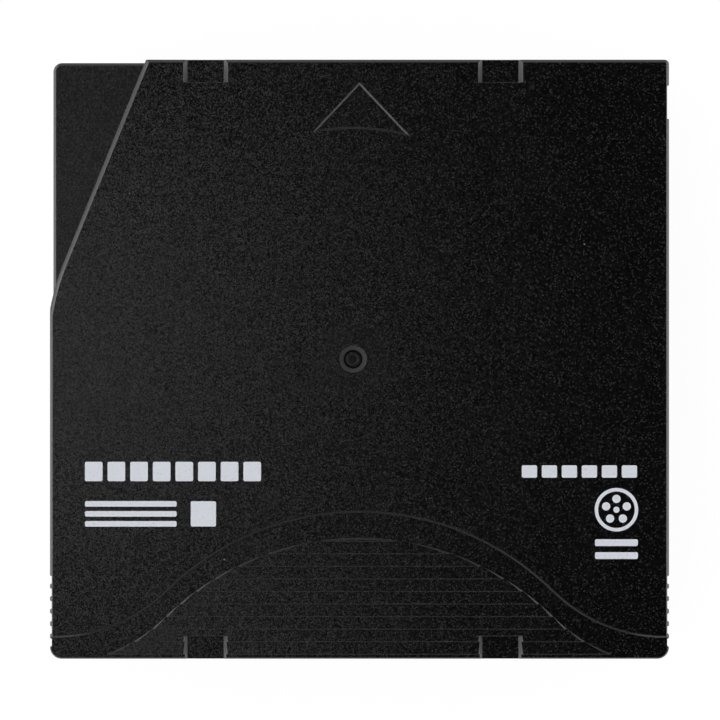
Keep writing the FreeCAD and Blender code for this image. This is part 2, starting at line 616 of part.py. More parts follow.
lower_drillings = []
for corner, (x, y) in SCREWS.items():
    lower_drillings += [
        cylinder(f"clearance_{corner}", (x, y, -1), "screw_radius + screw_play", "middle + 2"),
        cylinder(f"counterbore_{corner}", (x, y, -1), "screw_head_radius + screw_play",
                 "screw_seat + 1")]
lower_drillings += [
    cylinder("hub_opening", ("reel_axis", 0, -1), "hub_opening_radius", "floor_top + 2"),
    cylinder("datum_hole", ("datum_side - right", "front - datum_front", -1), "datum_radius",
             "datum_depth + 1"),
    cylinder("slot_end_1", ("datum_side - right", "datum_rear - front - datum_slot / 2", -1),
             "datum_radius", "datum_depth + 1"),
    cylinder("slot_end_2", ("datum_side - right", "datum_rear - front + datum_slot / 2", -1),
             "datum_radius", "datum_depth + 1"),
    box("slot_middle",
        ("datum_side - right - datum_radius", "datum_rear - front - datum_slot / 2", -1),
        ("datum_side - right + datum_radius", "datum_rear - front + datum_slot / 2",
         "datum_depth")),
    cylinder("lower_pin_pocket", ("pin_x", "pin_y", "floor_top - pin_pocket"),
             "pin_flange_radius + pin_pocket_gap", "pin_pocket + 1"),
    box("lower_pin_way",
        ("pin_x", "pin_y - pin_flange_radius - pin_pocket_gap", "floor_top - pin_pocket"),
        ("channel_outer", "pin_y + pin_flange_radius + pin_pocket_gap", "floor_top + 1")),
]
lower_cavity = box("lower_cavity", ("side_wall - right", "wall_rear", "floor_top"),
                   ("right - side_wall", "wall_front", "middle + 1"))
lower_shell = shell("lower_shell", lower_form, lower_cavity, lower_fittings, lower_drillings)

# ---------------------------------------------------------------- case screws

def screw(corner, x, y):
    """A countersunk-free pan screw, driven upwards from the underside by a cross recess."""
    neck = "screw_seat + screw_length - screw_point"
    turned = revolved(f"screw_{corner}_turned",
                      [(0, "screw_seat - screw_head"),
                       ("screw_head_radius - 0.2", "screw_seat - screw_head"),
                       ("screw_head_radius", "screw_seat - screw_head + 0.2"),
                       ("screw_head_radius", "screw_seat"), ("screw_radius", "screw_seat"),
                       ("screw_radius", neck), (0, "screw_seat + screw_length")])
    place(turned, x, y)
    low, high = "screw_seat - screw_head - 1", "screw_seat - screw_head + drive_depth"
    across = box(f"screw_{corner}_across",
                 (f"{x} - drive_length / 2", f"{y} - drive_slot / 2", low),
                 (f"{x} + drive_length / 2", f"{y} + drive_slot / 2", high))
    along = box(f"screw_{corner}_along",
                (f"{x} - drive_slot / 2", f"{y} - drive_length / 2", low),
                (f"{x} + drive_slot / 2", f"{y} + drive_length / 2", high))
    return cut(f"screw_{corner}", turned, across, along)


case_screws = group("case_screws", *[screw(corner, x, y) for corner, (x, y) in SCREWS.items()])

# ---------------------------------------------------------------- door and its spring

door_gripped = "door_front - opener_width - 1.5"
door_plate = fuse(
    "door_blank",
    box("door_plate", ("door_inner", "door_rear", "channel_low + door_gap"),
        ("door_outer", "door_front", "channel_high - door_gap")),
    box("door_opener", ("door_outer - 0.5", "door_front - opener_width",
                        "middle - opener_half_height"),
        ("right - opener_depth - door_gap", "door_front", "middle + opener_half_height")),
    box("door_seat", ("seat_inner", "door_rear", "middle - spring_outer"),
        ("door_outer - 0.5", "door_rear + seat_length", "middle + spring_outer")),
    cylinder("door_peg", ("spring_axis", "door_rear + 0.5", "middle"),
             "door_spring_radius - door_spring_wire - 0.3", "peg_length + 0.5", (1, 0, 0), 90))
door_grip = extruded("door_grip_slot", "XY_Plane",
                     rectangle("-door_grip_depth", 1, "-door_grip_pitch / 4", "door_grip_pitch / 4"),
                     "roof_under - floor_top - 6")
door_grips = door_grip.newObject("PartDesign::LinearPattern", "door_grip_pattern")
door_grips.Originals = [door_grip.Group[1]]
door_grips.Direction = (door_grip.Group[0], ["V_Axis"])
door_grips.Reversed = True
bind(door_grips, Length="(door_grip_count - 1) * door_grip_pitch", Occurrences="door_grip_count")
door_grip.Tip = door_grips
door_grip.AllowCompound = True
place(door_grip, "door_outer", door_gripped, "floor_top + 3")
access_door = cut("access_door", door_plate, door_grip)


def coil(name, base, radius, wire, pitch, length, axis=None, angle=0):
    """A helical spring: a round wire swept along a helix that starts at base, a face to each turn."""
    path = doc.addObject("Part::Helix", name + "_path")
    bind(path, Radius=radius, Pitch=pitch, Height=length)
    path.SegmentLength = 1
    section = doc.addObject("Part::Circle", name + "_section")
    bind(section, Radius=wire)
    upright = FreeCAD.Rotation(FreeCAD.Vector(1, 0, 0), 90)
    lean = FreeCAD.Rotation(FreeCAD.Vector(*axis), angle) if axis else FreeCAD.Rotation()
    path.Placement.Rotation = lean
    section.Placement.Rotation = lean * upright
    place(path, *base)
    place(section, f"{base[0]} + {radius}", base[1], base[2])
    spring = doc.addObject("Part::Sweep", name)
    spring.Sections = [section]
    spring.Spine = (path, [])
    spring.Solid = True
    spring.Frenet = True
    return spring


door_spring = coil("door_spring", ("spring_axis", "door_rear - door_spring_wire", "middle"),
                   "door_spring_radius", "door_spring_wire", "door_spring_pitch",
                   "door_rear - door_spring_stop - 2 * door_spring_wire", (1, 0, 0), 90)

# ---------------------------------------------------------------- reel

def at_reel(item):
    return place(item, "reel_axis")


hub_form = at_reel(revolved("hub_form", [
    (0, "flange_low"), ("flange_radius", "flange_low"), ("flange_radius", "winding_low"),
    ("hub_radius", "winding_low"), ("hub_radius", "winding_high"), ("hub_bore", "winding_high"),
    ("hub_bore", "hub_floor_top"), (0, "hub_floor_top")]))
drive_gear = at_reel(toothed_ring(
    "drive_gear", rectangle("gear_inner", "gear_outer", "gear_low + gear_tooth", "flange_low + 0.5"),
    rectangle("gear_inner + tooth_inset", "gear_outer - tooth_inset", "-gear_tooth_width / 2",
              "gear_tooth_width / 2"),
    "gear_tooth + 0.2", "gear_low + gear_tooth + 0.2", "gear_tooth_count", reverse=True))
brake_posts = at_reel(toothed_ring(
    "brake_posts", rectangle("post_inner", "post_outer", "hub_floor_top - 0.5", "post_root"),
    rectangle("post_inner + tooth_inset", "post_outer - tooth_inset", "-brake_tooth_width / 2",
              "brake_tooth_width / 2"),
    "brake_tooth + 0.2", "post_root - 0.2", "brake_tooth_count"))


def three_times(name, make):
    """Three copies of a piece about the reel's axis, the first one towards the front."""
    copies = []
    for number, angle in enumerate((90, 210, 330), 1):
        copies.append(at_reel(turn(make(f"{name}_{number}"), (0, 0, 1), angle)))
    return copies


def arm_block(name, start, reach, width, low, high):
    """A flat arm that points away from the reel's axis."""
    return extruded(name, "XY_Plane", rectangle(start, reach, f"-({width}) / 2", f"({width}) / 2"),
                    f"({high}) - ({low})", level=low)


def leg_bar(name, radius, low, high):
    """An upright bar on the circle of the drive gear."""
    body = doc.addObject("PartDesign::Body", name)
    bar = body.newObject("PartDesign::AdditiveCylinder", name + "_bar")
    bind(bar, Radius=radius, Height=f"({high}) - ({low})")
    bar.AttachmentSupport = [(origin_feature(body, "XY_Plane"), "")]
    bar.MapMode = "FlatFace"
    bar.setExpression("AttachmentOffset.Base.x", formula("leg_circle"))
    bar.setExpression("AttachmentOffset.Base.z", formula(low))
    return body


arm_ways = three_times("arm_way", lambda name: arm_block(
    name, "post_inner - 1", "post_outer + 1", "arm_width + 2 * arm_gap", "hub_floor_top",
    "post_top + 1"))
leg_holes = three_times("leg_hole", lambda name: leg_bar(
    name, "leg_radius + leg_gap", "gear_low - 1", "hub_floor_top + 1"))
leg_holes = group("leg_holes", *leg_holes)
reel_hub = fuse("reel_hub", cut("drilled_hub", hub_form, leg_holes),
                cut("parted_gear", drive_gear, leg_holes),
                cut("parted_posts", brake_posts, group("arm_ways", *arm_ways)))
reel_upper_flange = at_reel(revolved("reel_upper_flange", [
    ("hub_bore - skirt_thickness", "winding_high - skirt_depth"),
    ("hub_bore", "winding_high - skirt_depth"), ("hub_bore", "winding_high"),
    ("flange_radius", "winding_high"), ("flange_radius", "winding_high + flange_thickness"),
    ("hub_bore - skirt_thickness", "winding_high + flange_thickness")]))
reel_plate = at_reel(revolved("reel_plate", rectangle(
    "reel_plate_hole", "gear_inner - reel_plate_gap", "flange_low - reel_plate_thickness",
    "flange_low")))
tape_pack = at_reel(revolved("tape_pack", rectangle(
    "hub_radius", "tape_radius", "tape_low", "tape_high")))

# ---------------------------------------------------------------- release pad and brake

release_pad = fuse("release_pad",
                   cylinder("pad_disc", ("reel_axis", 0, "pad_low"), "pad_radius", "pad_thickness"),
                   *three_times("pad_arm", lambda name: arm_block(
                       name, 0, "hub_bore - arm_end_gap", "arm_width", "pad_low", "pad_top")),
                   *three_times("pad_leg", lambda name: leg_bar(
                       name, "leg_radius", "gear_low + leg_recess", "pad_low + 0.2")))

brake_form = at_reel(revolved("brake_form", [
    (0, "pad_top + brake_gap"), ("nub_radius", "pad_top + brake_gap"), ("nub_radius", "brake_low"),
    ("post_outer + brake_margin", "brake_low"), ("post_outer + brake_margin", "brake_top"),
    ("brake_boss_radius", "brake_top"), ("brake_boss_radius", "boss_top"), (0, "boss_top")]))
brake_ring = at_reel(toothed_ring(
    "brake_ring", rectangle("post_inner", "post_outer", "brake_low + 0.1", "brake_low + 0.6"),
    rectangle("post_inner + tooth_inset", "post_outer - tooth_inset", "-brake_tooth_width / 2",
              "brake_tooth_width / 2"),
    "brake_tooth + 0.2", "brake_low + 0.2", "brake_tooth_count", reverse=True))
# the brake's teeth stand in the gaps between the posts' teeth
brake_ring.Placement.Rotation = FreeCAD.Rotation(FreeCAD.Vector(0, 0, 1), 1)
bind(brake_ring, **{"Placement.Rotation.Angle": "180 / brake_tooth_count"})
brake_button = cut("brake_button", fuse("brake_toothed", brake_form, brake_ring),
                   box("brake_socket",
                       ("reel_axis - key_width / 2 - key_gap", "-key_width / 2 - key_gap",
                        "brake_top"),
                       ("reel_axis + key_width / 2 + key_gap", "key_width / 2 + key_gap",
                        "boss_top + 1")))
brake_spring = coil("brake_spring", ("reel_axis", 0, "brake_top + brake_spring_wire"),
                    "brake_spring_radius", "brake_spring_wire", "brake_spring_pitch",
                    "roof_under - brake_top - 2 * brake_spring_wire")

# ---------------------------------------------------------------- leader pin and what holds it

collar_low, collar_high = "tape_low - 0.2", "tape_high + 0.2"
leader_pin = place(revolved("leader_pin", [
    (0, "pin_low"), ("pin_flange_radius - 0.2", "pin_low"), ("pin_flange_radius", "pin_low + 0.2"),
    ("pin_flange_radius", "pin_low + pin_flange"), ("pin_stem_radius", "pin_low + pin_flange"),
    ("pin_stem_radius", f"{collar_low} - pin_collar"),
    ("pin_collar_radius", f"{collar_low} - pin_collar"), ("pin_collar_radius", collar_low),
    ("pin_stem_radius", collar_low), ("pin_stem_radius", collar_high),
    ("pin_collar_radius", collar_high), ("pin_collar_radius", f"{collar_high} + pin_collar"),
    ("pin_stem_radius", f"{collar_high} + pin_collar"),
    ("pin_stem_radius", "pin_high - pin_flange"), ("pin_flange_radius", "pin_high - pin_flange"),
    ("pin_flange_radius", "pin_high - 0.2"), ("pin_flange_radius - 0.2", "pin_high"),
    (0, "pin_high")]), "pin_x", "pin_y")

leader_run = doc.addObject("Part::Box", "leader_run")
bind(leader_run, Length="leader_length", Width="leader_thickness", Height="tape_high - tape_low")
turn(leader_run, (0, 0, 1), 1)
bind(leader_run, **{"Placement.Rotation.Angle": "leader_angle"})
place(leader_run, "pin_x", "pin_y", "tape_low")
tape_leader = cut("tape_leader",
                  fuse("leader_looped", leader_run,
                       cylinder("leader_loop", ("pin_x", "pin_y", "tape_low"), "loop_radius",
                                "tape_high - tape_low")),
                  cylinder("leader_eye", ("pin_x", "pin_y", "tape_low - 1"), "pin_stem_radius",
                           "tape_high - tape_low + 2"))

clip_mouth = doc.addObject("Part::Box", "clip_mouth_block")
bind(clip_mouth, Length="clip_mouth", Width="5 * pin_stem_radius", Height="tape_high - tape_low")
turn(clip_mouth, (0, 0, 1), 180)
place(clip_mouth, "pin_x + clip_mouth / 2", "pin_y", "tape_low")
leader_pin_clip = cut("leader_pin_clip",
                      tube("clip_ring", ("pin_x", "pin_y", "tape_low + clip_margin"),
                           "loop_radius + clip_thickness", "loop_radius",
                           "tape_high - tape_low - 2 * clip_margin"),
                      clip_mouth)


def retainer():
    """A leaf spring against the front wall, with two arms that bear on the ends of the pin."""
    back = "wall_front - retainer_gap"
    plate = box("retainer_plate",
                ("pin_x - retainer_left", f"{back} - retainer_thickness", "floor_top + retainer_gap"),
                ("pin_x + retainer_right", back, "roof_under - retainer_gap"))
    bend_x, bend_y = "pin_x + retainer_bend_side", "pin_y + retainer_bend_front"
    touch_x = "pin_x + (pin_flange_radius + pin_gap) * cos(retainer_angle)"
    touch_y = "pin_y + (pin_flange_radius + pin_gap) * sin(retainer_angle)"
    strip = [("pin_x + retainer_right - retainer_thickness", f"{back} - retainer_thickness"),
             ("pin_x + retainer_right", back),
             (f"{bend_x} + retainer_thickness", bend_y),
             (f"{touch_x} + retainer_thickness", touch_y), (touch_x, touch_y), (bend_x, bend_y)]
    arms = [extruded(f"retainer_arm_{end}", "XY_Plane", strip, "retainer_arm", level=low)
            for end, low in (("low", "floor_top + retainer_gap"),
                             ("high", "roof_under - retainer_gap - retainer_arm"))]
    return fuse("pin_retainer_spring", plate, *arms)


pin_retainer_spring = retainer()

# ---------------------------------------------------------------- write-protect tab

tab_face = "middle - tab_height / 2", "middle + tab_height / 2"
write_protect_tab = cut(
    "write_protect_tab",
    fuse("tab_blank",
         box("tab_front", ("tab_left + tab_gap", "tab_recess - front", tab_face[0]),
             ("tab_left + tab_gap + tab_width", "wall_rear + tab_gap + 0.5", tab_face[1])),
         box("tab_flange_plate",
             ("tab_left + tab_gap - tab_overlap", "wall_rear + tab_gap", "middle - tab_flange_low"),
             ("tab_left + tab_gap + tab_width + tab_overlap", "wall_rear + tab_gap + tab_flange",
              "middle + tab_flange_low"))),
    box("tab_nail_groove",
        ("tab_left + tab_gap + tab_width / 2 - tab_groove", "-front", "tab_height / -2 + middle + 1"),
        ("tab_left + tab_gap + tab_width / 2 + tab_groove", "tab_recess + tab_groove - front",
         "tab_height / 2 + middle - 1")))

# ---------------------------------------------------------------- memory board

def on_board(name, length, width, thickness, along, across, depth):
    """A flat piece parallel to the board, given by its place on the board's outer face."""
    piece = doc.addObject("Part::Box", name)
    bind(piece, Length=length, Width=width, Height=thickness)
    turn(piece, (1, 0, 0), -45)
    lean = "sqrt(0.5)"
    return place(piece, f"board_left + {along}",
                 f"board_rear + (({across}) + ({depth})) * {lean}",
                 f"board_drop - (({across}) - ({depth})) * {lean}")


memory_board = on_board("memory_board", "board_length", "board_width", "board_thickness", 0, 0, 0)
antenna_start = "board_rib_inset + board_rib + antenna_inset"
antenna_length = "board_length - 2 * (board_rib_inset + board_rib + antenna_inset)"
antenna_width = "board_width - 2 * antenna_inset"
memory_antenna = cut(
    "memory_antenna",
    on_board("antenna_field", antenna_length, antenna_width, "antenna_thickness", antenna_start,
             "antenna_inset", "-antenna_thickness"),
    on_board("antenna_inside", f"{antenna_length} - 2 * antenna_track",
             f"{antenna_width} - 2 * antenna_track", "antenna_thickness + 1",
             f"{antenna_start} + antenna_track", "antenna_inset + antenna_track",
             "-antenna_thickness - 0.5"))
memory_chip = on_board("memory_chip", "chip_length", "chip_width", "chip_thickness",
                       "(board_length - chip_length) / 2", "(board_width - chip_width) / 2",
                       "-chip_thickness")

# ---------------------------------------------------------------- check and write

NODES = [upper_shell, lower_shell, case_screws, access_door, door_spring, reel_hub,
         reel_upper_flange, reel_plate, tape_pack, release_pad, brake_button, brake_spring,
         leader_pin, tape_leader, leader_pin_clip, pin_retainer_spring, write_protect_tab,
         memory_board, memory_antenna, memory_chip]

doc.recompute()
failed = [item.Name for item in doc.Objects if {"Invalid", "Error"} & set(item.State)]
for node in NODES:
    if node.Shape.isNull() or not node.Shape.isValid() or not node.Shape.Solids:
        failed.append(node.Label)
if failed:
    raise SystemExit("failed: " + ", ".join(failed))

os.makedirs("parts", exist_ok=True)
for node in NODES:
    node.Shape.exportStep(f"parts/{node.Label}.step")
    print(f"{node.Label}: {len(node.Shape.Solids)} solid(s), {node.Shape.Volume:.1f} mm3")
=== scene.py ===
"""Finishes, printed marks and studio of a single-reel data tape cartridge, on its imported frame.

Places and lengths are in metres. The cartridge lies flat: +X is the door's side, +Y the leading
edge and +Z the top. A Range is two values of a measure: a mask is 0 at the first and 1 at the
second, whichever is larger.
"""
import json
import logging
import math
from dataclasses import dataclass, replace
from enum import Enum
from typing import Optional, Union

import bpy
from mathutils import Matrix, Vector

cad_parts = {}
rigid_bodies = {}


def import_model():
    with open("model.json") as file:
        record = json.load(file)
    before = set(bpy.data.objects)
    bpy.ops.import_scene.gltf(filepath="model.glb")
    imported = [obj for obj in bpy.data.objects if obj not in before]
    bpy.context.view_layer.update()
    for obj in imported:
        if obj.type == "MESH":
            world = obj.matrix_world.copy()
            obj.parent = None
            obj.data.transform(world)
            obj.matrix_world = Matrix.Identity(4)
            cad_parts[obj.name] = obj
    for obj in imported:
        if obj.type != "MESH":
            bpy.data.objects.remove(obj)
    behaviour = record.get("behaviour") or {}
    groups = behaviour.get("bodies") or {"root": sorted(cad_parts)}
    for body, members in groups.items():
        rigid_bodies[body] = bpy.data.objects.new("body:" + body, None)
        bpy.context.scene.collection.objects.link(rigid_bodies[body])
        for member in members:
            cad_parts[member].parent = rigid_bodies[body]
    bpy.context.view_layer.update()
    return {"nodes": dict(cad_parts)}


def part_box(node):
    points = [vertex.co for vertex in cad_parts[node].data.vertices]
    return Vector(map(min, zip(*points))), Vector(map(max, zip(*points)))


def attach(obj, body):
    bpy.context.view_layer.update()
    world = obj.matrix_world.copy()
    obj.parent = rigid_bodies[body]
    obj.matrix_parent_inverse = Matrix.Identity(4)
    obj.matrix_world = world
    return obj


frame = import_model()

MM = 0.001
log = logging.getLogger("cartridge")

Colour = tuple[float, float, float]
Point = tuple[float, float, float]
Plan = tuple[float, float]
Range = tuple[float, float]


class Axis(Enum):
    """The axis that drawn marks run along."""

    X = 0
    Y = 1
    Z = 2


class Cell(Enum):
    """What a pattern of cells gives."""

    DISTANCE = "Distance"
    COLOUR = "Color"


class Ray(Enum):
    """The kinds of ray that meet the white of the studio."""

    CAMERA = "Is Camera Ray"
    GLOSSY = "Is Glossy Ray"
    CLEAR = "Is Transmission Ray"


# ---------------------------------------------------------------- shader maths


class Value:
    """An output socket that Python's operators work on, each adding one Math node."""

    def __init__(self, graph: "ShaderGraph", socket: bpy.types.NodeSocket) -> None:
        """Wraps a socket.

        Args:
            graph: the node graph that the socket belongs to.
            socket: the output socket.
        """
        self.graph = graph
        self.socket = socket

    def math(self, operation: str, *others: "Operand", clamp: bool = False) -> "Value":
        """Adds one Math node that works on this value.

        Args:
            operation: the node's operation.
            others: the second and third operands, where there are any.
            clamp: whether the result is held between 0 and 1.

        Returns:
            The node's result.
        """
        settings = {"operation": operation, "use_clamp": clamp}
        return self.graph.add("ShaderNodeMath", settings, dict(enumerate((self, *others))))

    def __add__(self, other: "Operand") -> "Value":
        """The sum."""
        return self.math("ADD", other)

    def __radd__(self, other: "Operand") -> "Value":
        """The sum, with this value on the right."""
        return self.math("ADD", other)

    def __sub__(self, other: "Operand") -> "Value":
        """The difference."""
        return self.math("SUBTRACT", other)

    def __rsub__(self, other: float) -> "Value":
        """The difference, with this value on the right."""
        return (self * -1.0) + other

    def __mul__(self, other: "Operand") -> "Value":
        """The product."""
        return self.math("MULTIPLY", other)

    def __rmul__(self, other: "Operand") -> "Value":
        """The product, with this value on the right."""
        return self.math("MULTIPLY", other)

    def __truediv__(self, other: "Operand") -> "Value":
        """The quotient."""
        return self.math("DIVIDE", other)

    def __pow__(self, other: "Operand") -> "Value":
        """The power."""
        return self.math("POWER", other)

    def __abs__(self) -> "Value":
        """The size without its sign."""
        return self.math("ABSOLUTE")

    def clamped(self) -> "Value":
        """The value held between 0 and 1."""
        return self.math("ADD", 0.0, clamp=True)

    def rise(self, low: float, high: float) -> "Value":
        """A smooth step.

        Args:
            low: the value at which the step is 0.
            high: the value at which the step is 1.

        Returns:
            0 below low, 1 above high, and a smooth curve between them. With high below low the
            step falls instead.
        """
        if low > high:
            return 1.0 - self.rise(high, low)
        settings = {"interpolation_type": "SMOOTHSTEP", "clamp": True}
        return self.graph.add("ShaderNodeMapRange", settings, {0: self, 1: low, 2: high})


Operand = Union[Value, float]


class ShaderGraph:
    """The node tree of a material or of the world."""

    def __init__(self, tree: bpy.types.NodeTree) -> None:
        """Empties the tree.

        Args:
            tree: the tree that the nodes go into.
        """
        self.tree = tree
        self.tree.nodes.clear()

    def add(self, kind: str, settings: Optional[dict] = None, inputs: Optional[dict] = None,
            output: Union[int, str] = 0) -> Value:
        """Adds any node.

        Args:
            kind: the node's type.
            settings: its properties.
            inputs: the value or link of each socket, by name or number.
            output: the output that is returned, by name or number.

        Returns:
            The chosen output, or an empty wrapper where the node has no outputs.
        """
        node = self.tree.nodes.new(kind)
        for name, value in (settings or {}).items():
            setattr(node, name, value)
        for key, value in (inputs or {}).items():
            socket = node.inputs[key]
            if isinstance(value, Value):
                self.tree.links.new(value.socket, socket)
            else:
                socket.default_value = value
        return Value(self, node.outputs[output] if len(node.outputs) else None)

    def place(self) -> Value:
        """The point on the object, in metres."""
        return self.add("ShaderNodeTexCoord", output="Object")

    def normal(self) -> tuple[Value, Value, Value]:
        """The three parts of the mesh's own normal."""
        return self.split(self.add("ShaderNodeTexCoord", output="Normal"))

    def rays(self, *kinds: Ray) -> Value:
        """Where a ray is of a given kind.

        Args:
            kinds: the kinds of ray.

        Returns:
            1 for a ray of one of them and 0 for any other.
        """
        outputs = self.add("ShaderNodeLightPath").socket.node.outputs
        first, *rest = (Value(self, outputs[kind.value]) for kind in kinds)
        return sum(rest, first).clamped()

    def split(self, vector: Value) -> tuple[Value, Value, Value]:
        """The three parts of a vector.

        Args:
            vector: the vector.

        Returns:
            Its X, Y and Z.
        """
        first = self.add("ShaderNodeSeparateXYZ", inputs={0: vector})
        outputs = first.socket.node.outputs
        return first, Value(self, outputs[1]), Value(self, outputs[2])

    def join(self, x: Operand, y: Operand, z: Operand) -> Value:
        """A vector of three parts.

        Args:
            x: the first part.
            y: the second part.
            z: the third part.

        Returns:
            The vector.
        """
        return self.add("ShaderNodeCombineXYZ", inputs={0: x, 1: y, 2: z})

    def vector(self, operation: str, *operands: Union[Value, Point], **named: Operand) -> Value:
        """Adds one Vector Math node.

        Args:
            operation: the node's operation.
            operands: its vectors.
            named: its single numbers, by the socket's name.

        Returns:
            The node's result.
        """
        inputs = dict(enumerate(operands)) | named
        return self.add("ShaderNodeVectorMath", {"operation": operation}, inputs)

    def noise(self, vector: Value, size: float, detail: float = 2.0,
              roughness: float = 0.5) -> Value:
        """A cloudy pattern.

        Args:
            vector: where the pattern is read.
            size: the size of one blot, in the vector's units.
            detail: how many finer octaves are added.
            roughness: how strong the finer octaves are.

        Returns:
            A value around 0.5.
        """
        return self.add("ShaderNodeTexNoise", inputs={
            "Vector": vector, "Scale": 1.0 / size, "Detail": detail, "Roughness": roughness})

    def cells(self, vector: Value, size: float, output: Cell = Cell.DISTANCE) -> Value:
        """A pattern of scattered cells.

        Args:
            vector: where the pattern is read.
            size: the mean distance between two cells.
            output: the distance to a cell's middle, or its random colour.

        Returns:
            The pattern.
        """
        inputs = {"Vector": vector, "Scale": 1.0 / size}
        return self.add("ShaderNodeTexVoronoi", inputs=inputs, output=output.value)

    def mix(self, share: Operand, first: Union[Value, Colour],
            second: Union[Value, Colour]) -> Value:
        """A blend of two colours.

        Args:
            share: how much of the second colour there is, from 0 to 1.
            first: the first colour.
            second: the second colour.

        Returns:
            The blended colour.
        """
        pair = [c if isinstance(c, Value) else (*c, 1.0) for c in (first, second)]
        return self.add("ShaderNodeMix", {"data_type": "RGBA"},
                        {0: share, 6: pair[0], 7: pair[1]}, output=2)

    def bump(self, height: Value, rise: float, under: Optional[Value] = None) -> Value:
        """A surface normal tilted by a height pattern.

        Args:
            height: the pattern, from 0 to 1.
            rise: how high the pattern's 1 stands over its 0, in metres.
            under: the normal that the pattern lies on, where it isn't the mesh's own.

        Returns:
            The tilted normal.
        """
        inputs = {"Strength": 1.0, "Distance": rise, "Height": height}
        if under is not None:
            inputs["Normal"] = under
        return self.add("ShaderNodeBump", inputs=inputs)

    def radius(self, centre: Plan) -> Value:
        """The distance from an upright line.

        Args:
            centre: the line's X and Y.

        Returns:
            The distance in metres.
        """
        x, y, _ = self.split(self.place())
        return ((x - centre[0]) ** 2.0 + (y - centre[1]) ** 2.0) ** 0.5


# ---------------------------------------------------------------- finishes


def toned(colour: Colour, factor: float, lift: float = 0.0) -> Colour:
    """A paler or darker shade of a colour.

    Args:
        colour: the colour.
        factor: what each part is multiplied by.
        lift: what is then added to it.

    Returns:
        The shade.
    """
    return tuple(min(1.0, part * factor + lift) for part in colour)


@dataclass(frozen=True)
class Finish:
    """A finish with its colour and gloss, and a method that gives it its pattern."""

    name: str
    colour: Colour
    roughness: float
    metallic: float = 0.0

    def material(self) -> bpy.types.Material:
        """Makes the material.

        Returns:
            The new material, dressed.
        """
        made = bpy.data.materials.new(self.name)
        made.use_nodes = True
        made.diffuse_color = (*self.colour, 1.0)
        graph = ShaderGraph(made.node_tree)
        inputs = {"Metallic": self.metallic} | self.dress(graph)
        surface = graph.add("ShaderNodeBsdfPrincipled", inputs=inputs)
        graph.add("ShaderNodeOutputMaterial", inputs={"Surface": surface})
        return made

    def dress(self, graph: ShaderGraph) -> dict:
        """Builds the finish's patterns.

        Args:
            graph: the material's graph.

        Returns:
            What feeds each socket of the shader, by the socket's name.
        """
        raise NotImplementedError


